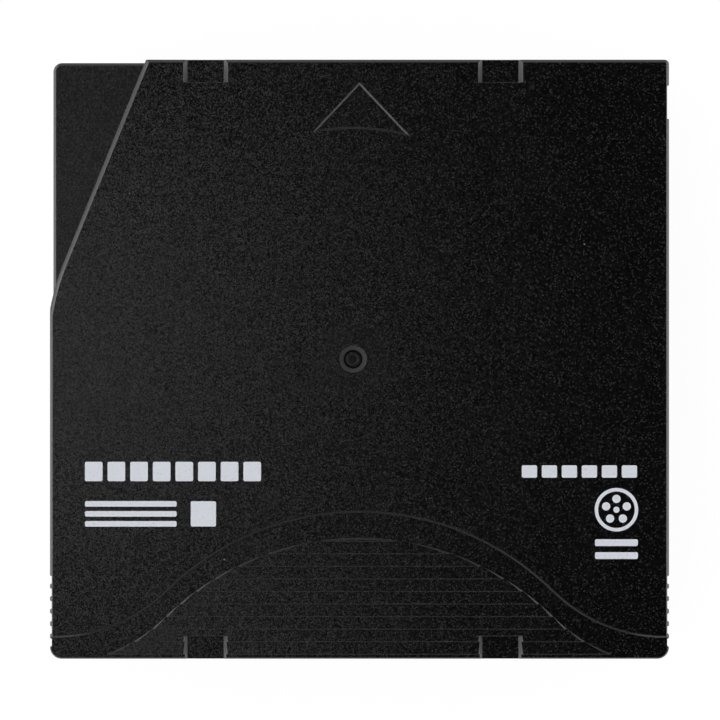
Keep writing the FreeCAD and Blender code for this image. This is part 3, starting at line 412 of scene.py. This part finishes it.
@dataclass(frozen=True)
class SparkedPlastic(Finish):
    """Black polycarbonate from a spark-eroded mould, as on the case.

    The flat faces are grained, the walls are smoother, and the grip's wall and the foot of the
    guide corner's step are matt. A *_matt field is what a pattern adds to the roughness.
    """

    level: Range = (0.86, 0.97)

    grain: float = 0.18 * MM
    grain_rise: float = 0.02 * MM
    wall_grain: float = 0.2
    tilt: float = 0.22
    # Painted glints: a share of the grain's facets gets a paler base colour that stands in for
    # highlights off the facets.
    glint: Range = (0.84, 1.0)
    painted_glint_colour: Colour = (0.038, 0.038, 0.042)
    cloud: float = 14.0 * MM
    cloud_matt: float = 0.10

    wall_roughness: float = 0.30
    matt_roughness: float = 0.85
    pocket_rear: Range = (-47.0 * MM, -46.5 * MM)
    pocket_front: Range = (-24.0 * MM, -25.0 * MM)
    pocket_lean: Range = (0.0, -0.2)

    top: float = 21.5 * MM
    land_side: Range = (-33.0 * MM, -34.0 * MM)
    land_end: Range = (1.1 * MM, 2.1 * MM)
    land_depth: Range = (0.32 * MM, 0.42 * MM)
    step_depth: Range = (0.80 * MM, 0.72 * MM)
    land_matt: float = 0.11

    gate: Plan = (-1.1 * MM, 0.0)
    dimple: Range = (2.346 * MM, 2.185 * MM)
    halo: Range = (9.0 * MM, 3.6 * MM)
    halo_matt: float = 0.07

    edge_radius: float = 0.28 * MM
    edge_samples: int = 6
    # Colour of the pale rims: partly wear, partly a painted highlight on the rims that face the
    # lamps.
    worn: Colour = (0.10, 0.10, 0.104)
    slope_steep: Range = (0.40, 0.55)
    slope_flat: Range = (0.88, 0.80)
    side_rims_highlit: Range = (0.25, 0.50)
    rear_rims_highlit: Range = (-0.50, -0.65)
    rear_share: float = 0.45
    pocket_spared: float = 0.8

    dust: float = 5.5 * MM
    dust_colour: Colour = (0.16, 0.155, 0.15)
    dust_matt: float = 0.3
    dust_pick: Range = (0.80, 0.82)
    speck: Range = (0.030, 0.018)

    def dress(self, graph: ShaderGraph) -> dict:
        """Builds the grain with painted glints, the pale rims that are partly a painted highlight,
        the cloudy gloss, the halo round the gate and a little dust.

        Args:
            graph: the material's graph.

        Returns:
            What feeds each socket of the shader, by the socket's name.
        """
        place = graph.place()
        x, y, z = graph.split(place)
        normal = graph.normal()
        from_gate = graph.radius(self.gate)
        smooth = from_gate.rise(*self.dimple)
        facing = abs(normal[2]).rise(*self.level) * (1.0 - smooth)
        pocket = y.rise(*self.pocket_rear) * y.rise(*self.pocket_front)
        pocket = pocket * normal[1].rise(*self.pocket_lean)
        below = self.top - z
        land = x.rise(*self.land_side) * y.rise(*self.land_end) * below.rise(*self.land_depth)
        step = land * below.rise(*self.step_depth)
        dust = self._dust(graph, place)

        cloud = graph.noise(place, self.cloud, detail=3.0, roughness=0.55) - 0.5
        grained = (self.roughness + cloud * self.cloud_matt
                   + from_gate.rise(*self.halo) * self.halo_matt + land * self.land_matt)
        matt = (pocket + step).clamped()
        wall = self.wall_roughness + matt * (self.matt_roughness - self.wall_roughness)
        roughness = facing * grained + (1.0 - facing) * wall + dust * self.dust_matt

        facets = graph.cells(place, self.grain, Cell.COLOUR)
        glint = graph.split(facets)[0].rise(*self.glint)
        # Painted highlight: the glint facets get a paler base colour instead of a brighter
        # reflection.
        shade = graph.mix(glint * facing, self.colour, self.painted_glint_colour)
        # Pale rims: partly handling wear, partly a painted highlight where the rims face the side
        # lamps and the rear.
        shade = graph.mix(self._rim_wear_and_highlight(normal, smooth, pocket), shade, self.worn)
        shade = graph.mix(dust, shade, self.dust_colour)

        rounded = graph.add("ShaderNodeBevel", {"samples": self.edge_samples},
                            {"Radius": self.edge_radius})
        tilted = self._tilted(graph, rounded, facets, facing * self.tilt)
        pits = graph.noise(place, self.grain, detail=1.5, roughness=0.7)
        depth = facing * (1.0 - self.wall_grain) + self.wall_grain
        return {"Base Color": shade, "Roughness": roughness,
                "Normal": graph.bump(pits * depth, self.grain_rise, tilted)}

    def _rim_wear_and_highlight(self, normal: tuple[Value, Value, Value], smooth: Value,
                pocket: Value) -> Value:
        """Where handling has rubbed the sloped rims pale.

        Args:
            normal: the three parts of the mesh's own normal.
            smooth: 1 in the gate's dimple, which is not painted pale.
            pocket: 1 on the rim of the grip, which is painted less pale.

        Returns:
            How pale the rim is painted, from 0 to 1.
        """
        slope = abs(normal[2]).rise(*self.slope_steep) * abs(normal[2]).rise(*self.slope_flat)
        sides = abs(normal[0]).rise(*self.side_rims_highlit)
        sides = sides + normal[1].rise(*self.rear_rims_highlit) * self.rear_share
        spared = (1.0 - smooth) * (1.0 - pocket * self.pocket_spared)
        return (slope * sides * spared).clamped()

    @staticmethod
    def _tilted(graph: ShaderGraph, normal: Value, facets: Value, share: Value) -> Value:
        """Tilts a normal another way on each facet of the grain.

        Args:
            graph: the material's graph.
            normal: the surface's own normal.
            facets: a random colour for each facet.
            share: how far a facet may tilt.

        Returns:
            The tilted normal.
        """
        lean = graph.vector("SUBTRACT", facets, (0.5, 0.5, 0.5))
        lean = graph.vector("SCALE", lean, Scale=share)
        return graph.vector("NORMALIZE", graph.vector("ADD", normal, lean))

    def _dust(self, graph: ShaderGraph, place: Value) -> Value:
        """A few pale specks, far apart.

        Args:
            graph: the material's graph.
            place: the point on the object.

        Returns:
            1 on a speck and 0 off it.
        """
        pick = graph.split(graph.cells(place, self.dust, Cell.COLOUR))[0].rise(*self.dust_pick)
        return graph.cells(place, self.dust).rise(*self.speck) * pick


@dataclass(frozen=True)
class MouldedPlastic(Finish):
    """A smooth moulding with faint flow marks, rubbed patches and a fine skin."""

    flow: float = 5.0 * MM
    flow_rise: float = 0.02 * MM
    flow_band: Range = (0.35, 0.65)
    flow_matt: float = 0.12
    skin: float = 0.12 * MM
    skin_rise: float = 0.0025 * MM
    rub_share: float = 0.4
    rub_band: Range = (0.55, 0.72)
    wear: float = 0.25
    wear_matt: float = 0.25
    streaks: Point = (1.0, 1.0, 1.0)

    def dress(self, graph: ShaderGraph) -> dict:
        """Builds the flow marks, rubbed patches and the fine skin.

        Args:
            graph: the material's graph.

        Returns:
            What feeds each socket of the shader, by the socket's name.
        """
        place = graph.vector("MULTIPLY", graph.place(), self.streaks)
        flow = graph.noise(place, self.flow, detail=4.0, roughness=0.6)
        skin = graph.noise(place, self.skin, detail=2.0, roughness=0.6)
        rubbed = graph.noise(place, self.flow * self.rub_share, detail=5.0, roughness=0.7)
        worn = rubbed.rise(*self.rub_band) * self.wear
        shade = graph.mix(flow.rise(*self.flow_band), toned(self.colour, 0.88), self.colour)
        shade = graph.mix(worn, shade, toned(self.colour, 1.25, 0.01))
        roughness = self.roughness + (flow - 0.5) * self.flow_matt + worn * self.wear_matt
        waved = graph.bump(flow, self.flow_rise)
        return {"Base Color": shade, "Roughness": roughness,
                "Normal": graph.bump(skin, self.skin_rise, waved)}


@dataclass(frozen=True)
class Steel(Finish):
    """Drawn, stamped or plated steel with marks that run one way."""

    along: Axis = Axis.X
    line: float = 0.05 * MM
    run: float = 4.0 * MM
    line_rise: float = 0.0015 * MM
    line_matt: float = 0.25
    oil: float = 2.2 * MM
    oil_band: Range = (0.52, 0.70)
    stain: Colour = (0.32, 0.30, 0.27)
    stain_share: float = 0.3
    stain_matt: float = 0.3

    def dress(self, graph: ShaderGraph) -> dict:
        """Builds the drawn lines and faint oil stains.

        Args:
            graph: the material's graph.

        Returns:
            What feeds each socket of the shader, by the socket's name.
        """
        place = graph.place()
        scale = [1.0, 1.0, 1.0]
        scale[self.along.value] = self.line / self.run
        lines = graph.noise(graph.vector("MULTIPLY", place, tuple(scale)), self.line, detail=3.0)
        oil = graph.noise(place, self.oil, detail=4.0, roughness=0.65)
        stained = oil.rise(*self.oil_band) * self.stain_share
        roughness = self.roughness + (lines - 0.5) * self.line_matt + stained * self.stain_matt
        return {"Base Color": graph.mix(stained, self.colour, self.stain),
                "Roughness": roughness, "Normal": graph.bump(lines, self.line_rise)}


@dataclass(frozen=True)
class TurnedSteel(Finish):
    """Steel with fine rings about an upright axis, from a lathe or a press tool."""

    centre: Plan = (0.0, 0.0)
    pitch: float = 0.12 * MM
    ring_rise: float = 0.002 * MM
    ring_matt: float = 0.08
    wobble: float = 1.5 * MM
    wobble_turn: float = 6.0
    haze: float = 3.0 * MM
    haze_band: Range = (0.35, 0.70)
    haze_matt: float = 0.1

    def dress(self, graph: ShaderGraph) -> dict:
        """Builds the rings and a faint haze.

        Args:
            graph: the material's graph.

        Returns:
            What feeds each socket of the shader, by the socket's name.
        """
        place = graph.place()
        wobble = graph.noise(place, self.wobble, detail=3.0) * self.wobble_turn
        path = graph.radius(self.centre) + graph.split(place)[2]
        rings = (path / (self.pitch / math.tau) + wobble).math("SINE") * 0.5 + 0.5
        haze = graph.noise(place, self.haze, detail=4.0, roughness=0.6)
        shade = graph.mix(haze.rise(*self.haze_band), toned(self.colour, 0.82), self.colour)
        roughness = self.roughness + rings * self.ring_matt + haze * self.haze_matt
        return {"Base Color": shade, "Roughness": roughness,
                "Normal": graph.bump(rings, self.ring_rise)}


@dataclass(frozen=True)
class WoundTape(Finish):
    """The edges and the outer turn of a tape winding."""

    centre: Plan = (-1.1 * MM, 0.0)
    turn: float = 0.16 * MM
    turn_rise: float = 0.006 * MM
    turn_matt: float = 0.2
    band: float = 2.4 * MM
    scatter: float = 6.0 * MM
    scatter_matt: float = 0.08
    pale_band: Range = (0.30, 0.65)

    def dress(self, graph: ShaderGraph) -> dict:
        """Builds the turns, and the broad bands where the winding's tension changed.

        Args:
            graph: the material's graph.

        Returns:
            What feeds each socket of the shader, by the socket's name.
        """
        line = graph.join(graph.radius(self.centre), 0.0, 0.0)
        turns = graph.noise(line, self.turn, detail=3.0, roughness=0.75)
        bands = graph.noise(line, self.band, detail=2.0, roughness=0.5)
        scatter = graph.noise(graph.place(), self.scatter, detail=2.0) - 0.5
        pale = (bands * 0.6 + turns * 0.5 - 0.1).rise(*self.pale_band)
        shade = graph.mix(pale, self.colour, toned(self.colour, 1.9, 0.004))
        roughness = (self.roughness + (turns - 0.5) * self.turn_matt
                     + scatter * self.scatter_matt)
        return {"Base Color": shade, "Roughness": roughness,
                "Normal": graph.bump(turns, self.turn_rise)}


@dataclass(frozen=True)
class Laminate(Finish):
    """Solder mask over woven glass, on a board that leans 45 degrees about X."""

    weave: float = 0.45 * MM
    weave_rise: float = 0.004 * MM
    weave_share: float = 0.6
    cloud: float = 3.0 * MM
    cloud_matt: float = 0.15

    def dress(self, graph: ShaderGraph) -> dict:
        """Builds the weave that shows through the mask.

        Args:
            graph: the material's graph.

        Returns:
            What feeds each socket of the shader, by the socket's name.
        """
        place = graph.place()
        x, y, z = graph.split(place)
        turn = math.tau / self.weave
        warp = (x * turn).math("SINE")
        weft = ((y - z) * (turn * math.sqrt(0.5))).math("SINE")
        woven = warp * weft * 0.5 + 0.5
        cloud = graph.noise(place, self.cloud, detail=3.0) - 0.5
        shade = graph.mix(woven * self.weave_share, self.colour, toned(self.colour, 1.6))
        return {"Base Color": shade, "Roughness": self.roughness + cloud * self.cloud_matt,
                "Normal": graph.bump(woven, self.weave_rise)}


@dataclass(frozen=True)
class ScreenInk(Finish):
    """White ink printed over the grain of the case."""

    grain: float = 0.21 * MM
    grain_rise: float = 0.012 * MM
    grain_matt: float = 0.2
    thin: float = 0.42 * MM
    thin_band: Range = (0.56, 0.74)
    thin_share: float = 0.30

    def dress(self, graph: ShaderGraph) -> dict:
        """Builds the thin places and the grain that shows through the ink.

        Args:
            graph: the material's graph.

        Returns:
            What feeds each socket of the shader, by the socket's name.
        """
        place = graph.place()
        grain = graph.noise(place, self.grain, detail=1.5, roughness=0.7)
        thin = graph.noise(place, self.thin, detail=2.0).rise(*self.thin_band)
        shade = graph.mix(thin * self.thin_share, self.colour, toned(self.colour, 0.55))
        return {"Base Color": shade,
                "Roughness": self.roughness + (grain - 0.5) * self.grain_matt,
                "Normal": graph.bump(grain, self.grain_rise)}


# ---------------------------------------------------------------- the cartridge's sub-assemblies


class Mesher:
    """Small steps of modelling in edit mode, each on the object in hand."""

    CORNER_SEGMENTS = 5
    RING_VERTICES = 72

    @staticmethod
    def deselect() -> None:
        """Leaves nothing selected."""
        for item in bpy.context.view_layer.objects:
            item.select_set(False)

    @staticmethod
    def plate(width: float, depth: float, corner: float, centre: Point,
              thickness: float) -> bpy.types.Object:
        """Models a flat plate with rounded corners.

        Args:
            width: its size along X.
            depth: its size along Y.
            corner: the radius of its corners.
            centre: the middle of its underside.
            thickness: its size along Z.

        Returns:
            The plate, with its place in its mesh.
        """
        Mesher.deselect()
        bpy.ops.mesh.primitive_plane_add(size=1.0, enter_editmode=True)
        bpy.ops.transform.resize(value=(width, depth, 1.0))
        bpy.ops.mesh.select_all(action="SELECT")
        bpy.ops.mesh.bevel(offset=corner, segments=Mesher.CORNER_SEGMENTS, affect="VERTICES")
        return Mesher._raise(centre, thickness)

    @staticmethod
    def ring(outer: float, inner: float, centre: Point, thickness: float) -> bpy.types.Object:
        """Models a flat ring, or a disc where the inner radius is 0.

        Args:
            outer: its outer radius.
            inner: its inner radius.
            centre: the middle of its underside.
            thickness: its size along Z.

        Returns:
            The ring, with its place in its mesh.
        """
        Mesher.deselect()
        bpy.ops.mesh.primitive_circle_add(vertices=Mesher.RING_VERTICES, radius=outer,
                                          fill_type="NGON", enter_editmode=True)
        bpy.ops.mesh.select_all(action="SELECT")
        if inner > 0.0:
            bpy.ops.mesh.inset(thickness=outer - inner, depth=0.0)
            bpy.ops.mesh.delete(type="FACE")
            bpy.ops.mesh.select_all(action="SELECT")
        return Mesher._raise(centre, thickness)

    @staticmethod
    def _raise(centre: Point, thickness: float) -> bpy.types.Object:
        """Moves the flat shape in hand to its place and gives it its thickness.

        Args:
            centre: the middle of its underside.
            thickness: its size along Z.

        Returns:
            The finished object, out of edit mode.
        """
        bpy.ops.transform.translate(value=centre)
        upward = {"value": (0.0, 0.0, thickness)}
        bpy.ops.mesh.extrude_region_move(TRANSFORM_OT_translate=upward)
        bpy.ops.mesh.select_all(action="SELECT")
        bpy.ops.mesh.normals_make_consistent(inside=False)
        bpy.ops.object.mode_set(mode="OBJECT")
        return bpy.context.object

    @staticmethod
    def joined(name: str, items: list[bpy.types.Object]) -> bpy.types.Object:
        """Joins objects into one piece.

        Args:
            name: the piece's name.
            items: the objects, of which the first takes in the others.

        Returns:
            The piece.
        """
        Mesher.deselect()
        for item in items:
            item.select_set(True)
        bpy.context.view_layer.objects.active = items[0]
        bpy.ops.object.join()
        items[0].name = name
        items[0].data.name = name
        return items[0]


def wear(node: str, finish: Finish) -> None:
    """Gives a node of the frame its finish.

    Args:
        node: the node's name.
        finish: the finish.
    """
    target = frame["nodes"][node]
    made = finish.material()
    if not target.material_slots:
        target.data.materials.append(made)
    for holder in target.material_slots:
        holder.material = made
    log.info("%s: %s", node, finish.name)


def plan_middle(node: str) -> Plan:
    """The middle of a node's box, seen from above.

    Args:
        node: the node's name.

    Returns:
        Its X and Y.
    """
    low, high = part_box(node)
    return (low[0] + high[0]) / 2, (low[1] + high[1]) / 2


def case_top() -> float:
    """The height of the case's top plate."""
    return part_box("upper_shell")[1][2]


@dataclass
class CaseShells:
    """The two half shells and the four screws that hold them."""

    shells: SparkedPlastic = SparkedPlastic("grained_black_case", (0.0009, 0.0009, 0.0010), 0.25)
    screws: Finish = Steel("black_zinc_screw", (0.035, 0.035, 0.038), 0.42, metallic=0.85,
                           stain=(0.16, 0.15, 0.13), stain_share=0.2)

    def dress(self) -> None:
        """Gives the shells and screws their finishes."""
        grained = replace(self.shells, gate=plan_middle("reel_hub"), top=case_top())
        wear("upper_shell", grained)
        wear("lower_shell", grained)
        wear("case_screws", self.screws)


@dataclass
class Door:
    """The sliding door and the spring that closes it."""

    moulding: Finish = MouldedPlastic("smooth_black_door", (0.006, 0.006, 0.0065), 0.34,
                                      streaks=(1.0, 0.35, 1.0))
    wire: Finish = Steel("drawn_spring_wire", (0.60, 0.60, 0.61), 0.24, metallic=1.0,
                         along=Axis.Y)

    def dress(self) -> None:
        """Gives the door and its spring their finishes."""
        wear("access_door", self.moulding)
        wear("door_spring", self.wire)


@dataclass
class Reel:
    """The hub with its lower flange, the upper flange, the drive plate, the tape and the brake."""

    hub: Finish = MouldedPlastic("natural_hub", (0.66, 0.665, 0.65), 0.42)
    flange: Finish = MouldedPlastic("natural_flange", (0.62, 0.63, 0.61), 0.38, flow=9.0 * MM)
    plate: TurnedSteel = TurnedSteel("stamped_drive_plate", (0.58, 0.58, 0.58), 0.26,
                                     metallic=1.0, pitch=0.5 * MM)
    tape: WoundTape = WoundTape("wound_tape", (0.020, 0.016, 0.014), 0.30)
    pad: Finish = MouldedPlastic("white_release_pad", (0.72, 0.72, 0.70), 0.45)
    brake: Finish = MouldedPlastic("grey_brake", (0.17, 0.18, 0.20), 0.42)
    wire: Finish = Steel("brake_spring_wire", (0.60, 0.60, 0.61), 0.24, metallic=1.0)

    def dress(self) -> None:
        """Gives the reel's pieces their finishes."""
        axis = plan_middle("reel_hub")
        wear("reel_hub", self.hub)
        wear("reel_upper_flange", self.flange)
        wear("reel_plate", replace(self.plate, centre=axis))
        wear("tape_pack", replace(self.tape, centre=axis))
        wear("release_pad", self.pad)
        wear("brake_button", self.brake)
        wear("brake_spring", self.wire)


@dataclass
class Leader:
    """The pin at the end of the tape, its clip, and the spring that holds the pin."""

    pin: TurnedSteel = TurnedSteel("turned_pin", (0.64, 0.64, 0.63), 0.18, metallic=1.0,
                                   pitch=0.15 * MM)
    clip: Finish = MouldedPlastic("pin_clip", (0.50, 0.50, 0.48), 0.38, flow=2.0 * MM)
    tape: Finish = MouldedPlastic("leader_tape", (0.022, 0.018, 0.016), 0.22, flow=3.0 * MM,
                                  streaks=(1.0, 1.0, 0.2), wear=0.1)
    retainer: Finish = Steel("retainer_strip", (0.58, 0.58, 0.57), 0.28, metallic=1.0,
                             along=Axis.Z)

    def dress(self) -> None:
        """Gives the leader's pieces their finishes."""
        wear("leader_pin", replace(self.pin, centre=plan_middle("leader_pin")))
        wear("leader_pin_clip", self.clip)
        wear("tape_leader", self.tape)
        wear("pin_retainer_spring", self.retainer)


@dataclass
class WriteProtect:
    """The tab that slides in its window."""

    moulding: Finish = MouldedPlastic("red_tab", (0.42, 0.028, 0.020), 0.36, flow=2.0 * MM)

    def dress(self) -> None:
        """Gives the tab its finish."""
        wear("write_protect_tab", self.moulding)


@dataclass
class MemoryModule:
    """The board, its printed coil and the chip."""

    board: Finish = Laminate("green_laminate", (0.012, 0.085, 0.035), 0.30)
    track: Finish = Steel("tinned_copper_track", (0.70, 0.42, 0.26), 0.30, metallic=1.0)
    resin: Finish = MouldedPlastic("chip_resin", (0.014, 0.014, 0.014), 0.55, flow=1.0 * MM)

    def dress(self) -> None:
        """Gives the board's pieces their finishes."""
        wear("memory_board", self.board)
        wear("memory_antenna", self.track)
        wear("memory_chip", self.resin)


@dataclass(frozen=True)
class BlockRow:
    """A row of equal blocks."""

    count: int
    width: float
    height: float
    gap: float

    @property
    def span(self) -> float:
        """The row's whole length."""
        return self.count * self.width + (self.count - 1) * self.gap


@dataclass(frozen=True)
class Bars:
    """Equal bars over each other, each at its own Y."""

    rows: tuple[float, ...]
    length: float
    height: float

    @property
    def middle(self) -> float:
        """The Y of their middle."""
        return sum(self.rows) / len(self.rows)


@dataclass(frozen=True)
class ReelSign:
    """A plain picture of a reel: a rim, a hub and a circle of discs, as shares of its radius."""

    centre: Plan = (43.7 * MM, -25.6 * MM)
    radius: float = 3.7 * MM
    rim: float = 0.84
    hub: float = 0.14
    disc: float = 0.19
    reach: float = 0.50
    discs: int = 5


@dataclass
class PrintedMarks:
    """Plain white marks printed on the top plate: blocks, bars, a square and a reel sign."""

    ink: Finish = ScreenInk("white_screen_ink", (0.82, 0.85, 0.92), 0.52)
    film: float = 0.004 * MM
    sunk: float = 0.02 * MM
    corner: float = 0.28 * MM
    left_edge: float = -46.7 * MM
    right_edge: float = 47.2 * MM
    upper_line: float = -19.1 * MM
    blocks: BlockRow = BlockRow(count=8, width=3.0 * MM, height=3.3 * MM, gap=0.85 * MM)
    stripes: Bars = Bars((-24.6 * MM, -26.3 * MM, -28.0 * MM), 15.6 * MM, 0.95 * MM)
    square: float = 4.3 * MM
    square_gap: float = 2.4 * MM
    small_blocks: BlockRow = BlockRow(count=6, width=2.6 * MM, height=2.1 * MM, gap=0.8 * MM)
    sign: ReelSign = ReelSign()
    lines: Bars = Bars((-31.2 * MM, -33.4 * MM), 7.3 * MM, 1.15 * MM)

    def build(self) -> None:
        """Models the marks of both sides and prints them on the case."""
        for piece in (self._left(), self._right()):
            piece.data.materials.append(self.ink.material())
            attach(piece, "case")
            log.info("%s: printed, %d faces", piece.name, len(piece.data.polygons))

    def _spot(self, x: float, y: float) -> Point:
        """The point under a mark's middle, just inside the top plate."""
        return x, y, case_top() - self.sunk

    def _plate(self, x: float, y: float, width: float, height: float) -> bpy.types.Object:
        """Models one mark.

        Args:
            x: the place of its left end.
            y: the place of its middle line.
            width: its length along X.
            height: its size along Y.

        Returns:
            The mark.
        """
        centre = self._spot(x + width / 2, y)
        return Mesher.plate(width, height, self.corner, centre, self.sunk + self.film)

    def _ring(self, x: float, y: float, outer: float, inner: float = 0.0) -> bpy.types.Object:
        """Models one round mark.

        Args:
            x: the place of its middle along X.
            y: the place of its middle along Y.
            outer: its outer radius.
            inner: its inner radius, or 0 for a disc.

        Returns:
            The mark.
        """
        return Mesher.ring(outer, inner, self._spot(x, y), self.sunk + self.film)

    def _row(self, x: float, row: BlockRow) -> list[bpy.types.Object]:
        """Models a row of blocks on the upper line.

        Args:
            x: the place of the row's left end.
            row: the row.

        Returns:
            The blocks.
        """
        step = row.width + row.gap
        return [self._plate(x + number * step, self.upper_line, row.width, row.height)
                for number in range(row.count)]

    def _bars(self, x: float, bars: Bars) -> list[bpy.types.Object]:
        """Models bars.

        Args:
            x: the place of their left ends.
            bars: the bars.

        Returns:
            The bars' objects.
        """
        return [self._plate(x, y, bars.length, bars.height) for y in bars.rows]

    def _reel(self) -> list[bpy.types.Object]:
        """Models the reel sign.

        Returns:
            Its rim, its hub and its discs.
        """
        x, y = self.sign.centre
        radius = self.sign.radius
        made = [self._ring(x, y, radius, radius * self.sign.rim),
                self._ring(x, y, radius * self.sign.hub)]
        reach = radius * self.sign.reach
        for number in range(self.sign.discs):
            turn = number * math.tau / self.sign.discs
            made.append(self._ring(x + reach * math.sin(turn), y + reach * math.cos(turn),
                                   radius * self.sign.disc))
        return made

    def _left(self) -> bpy.types.Object:
        """Models the marks on the left: a row of blocks over three stripes and a square.

        Returns:
            The piece.
        """
        items = self._row(self.left_edge, self.blocks) + self._bars(self.left_edge, self.stripes)
        beside = self.left_edge + self.stripes.length + self.square_gap
        items.append(self._plate(beside, self.stripes.middle, self.square, self.square))
        return Mesher.joined("printed_marks_left", items)

    def _right(self) -> bpy.types.Object:
        """Models the marks on the right: a row of small blocks over a reel sign and two lines.

        Returns:
            The piece.
        """
        items = self._row(self.right_edge - self.small_blocks.span, self.small_blocks)
        items += self._reel()
        items += self._bars(self.sign.centre[0] - self.lines.length / 2, self.lines)
        return Mesher.joined("printed_marks_right", items)


# ---------------------------------------------------------------- studio


@dataclass(frozen=True)
class Softbox:
    """A soft lamp that points at the cartridge."""

    name: str
    place: Point
    size: tuple[float, float]
    radiance: float
    aim: Point = (0.0, 0.0, 0.01)

    def build(self) -> None:
        """Adds the lamp."""
        data = bpy.data.lights.new(self.name, "AREA")
        data.shape = "RECTANGLE"
        data.size, data.size_y = self.size
        data.energy = self.radiance * math.pi * self.size[0] * self.size[1]
        lamp = bpy.data.objects.new(self.name, data)
        bpy.context.scene.collection.objects.link(lamp)
        away = [there - here for there, here in zip(self.place, self.aim)]
        level = math.hypot(away[0], away[1])
        lamp.location = self.place
        lamp.rotation_euler = (math.atan2(level, away[2]), 0.0, math.atan2(away[0], -away[1]))
        lamp.visible_camera = False
        log.info("%s: %.2f W", self.name, data.energy)


@dataclass
class Studio:
    """The floor, the surroundings, the lamps and the camera above the cartridge.

    The surroundings' bands are given by the sine of their height over the horizon.
    """

    floor_size: float = 6.0
    floor_gap: float = 0.1 * MM
    floor_colour: Colour = (0.14, 0.14, 0.14)
    floor_glow: float = 0.93
    ring_level: float = 2.9
    ring_foot: Range = (0.35, 0.50)
    ring_head: Range = (0.70, 0.56)
    ring_lean: float = 0.3
    low_level: float = 0.40
    low_head: Range = (0.45, 0.30)
    lamps: tuple[Softbox, ...] = (
        Softbox("left_strip", (-0.40, 0.0, 0.021), (0.40, 0.040), 3.5),
        Softbox("right_strip", (0.40, 0.03, 0.021), (0.40, 0.040), 4.0),
        Softbox("left_overhead", (-0.16, 0.0, 0.45), (0.12, 0.24), 1.45),
    )
    camera_height: float = 430.0 * MM
    camera_place: Plan = (0.085 * MM, -0.136 * MM)
    camera_clip: Range = (0.01, 20.0)
    view_width: float = 122.45 * MM
    sensor: float = 36.0

    def build(self) -> None:
        """Sets the studio up."""
        self._floor()
        self._surroundings()
        for lamp in self.lamps:
            lamp.build()
        self._camera()
        bpy.context.scene.view_settings.view_transform = "Standard"

    def _floor(self) -> None:
        """Lays the floor, which looks white, takes the shadow and is clear from below."""
        Mesher.deselect()
        bpy.ops.mesh.primitive_plane_add(size=self.floor_size,
                                         location=(0.0, 0.0, -self.floor_gap))
        floor = bpy.context.object
        floor.name = "floor"
        made = bpy.data.materials.new("white_floor")
        made.use_nodes = True
        graph = ShaderGraph(made.node_tree)
        seen = graph.rays(Ray.CAMERA, Ray.GLOSSY, Ray.CLEAR)
        matt = graph.add("ShaderNodeBsdfDiffuse", inputs={"Color": (*self.floor_colour, 1.0)})
        glow = graph.add("ShaderNodeEmission", inputs={"Strength": seen * self.floor_glow})
        upper = graph.add("ShaderNodeAddShader", inputs={0: matt, 1: glow})
        below = graph.add("ShaderNodeNewGeometry", output="Backfacing")
        clear = graph.add("ShaderNodeBsdfTransparent")
        surface = graph.add("ShaderNodeMixShader", inputs={0: below, 1: upper, 2: clear})
        graph.add("ShaderNodeOutputMaterial", inputs={"Surface": surface})
        floor.data.materials.append(made)

    def _surroundings(self) -> None:
        """Lights the cartridge by a soft ring all round it, and looks white to the camera."""
        world = bpy.data.worlds.new("studio")
        world.use_nodes = True
        bpy.context.scene.world = world
        graph = ShaderGraph(world.node_tree)
        seen = graph.rays(Ray.CAMERA, Ray.CLEAR)
        x, _, z = graph.split(graph.add("ShaderNodeTexCoord", output="Generated"))
        ring = z.rise(*self.ring_foot) * z.rise(*self.ring_head) * (1.0 - x * self.ring_lean)
        light = ring * self.ring_level + z.rise(*self.low_head) * self.low_level
        strength = seen + (1.0 - seen) * light
        surface = graph.add("ShaderNodeBackground", inputs={"Color": (1.0, 1.0, 1.0, 1.0),
                                                            "Strength": strength})
        graph.add("ShaderNodeOutputWorld", inputs={"Surface": surface})

    def _camera(self) -> None:
        """Hangs the camera over the cartridge, looking straight down."""
        data = bpy.data.cameras.new("camera")
        data.sensor_width = self.sensor
        data.lens = self.sensor * self.camera_height / self.view_width
        data.clip_start, data.clip_end = self.camera_clip
        camera = bpy.data.objects.new("camera", data)
        bpy.context.scene.collection.objects.link(camera)
        camera.location = (*self.camera_place, case_top() + self.camera_height)
        bpy.context.scene.camera = camera


def main() -> None:
    """Dresses the cartridge, builds what is new on it and sets up the studio."""
    logging.basicConfig(level=logging.INFO, format="%(message)s")
    Mesher.deselect()
    for part in (CaseShells(), Door(), Reel(), Leader(), WriteProtect(), MemoryModule()):
        part.dress()
    PrintedMarks().build()
    Studio().build()


if __name__ == "__main__":
    main()
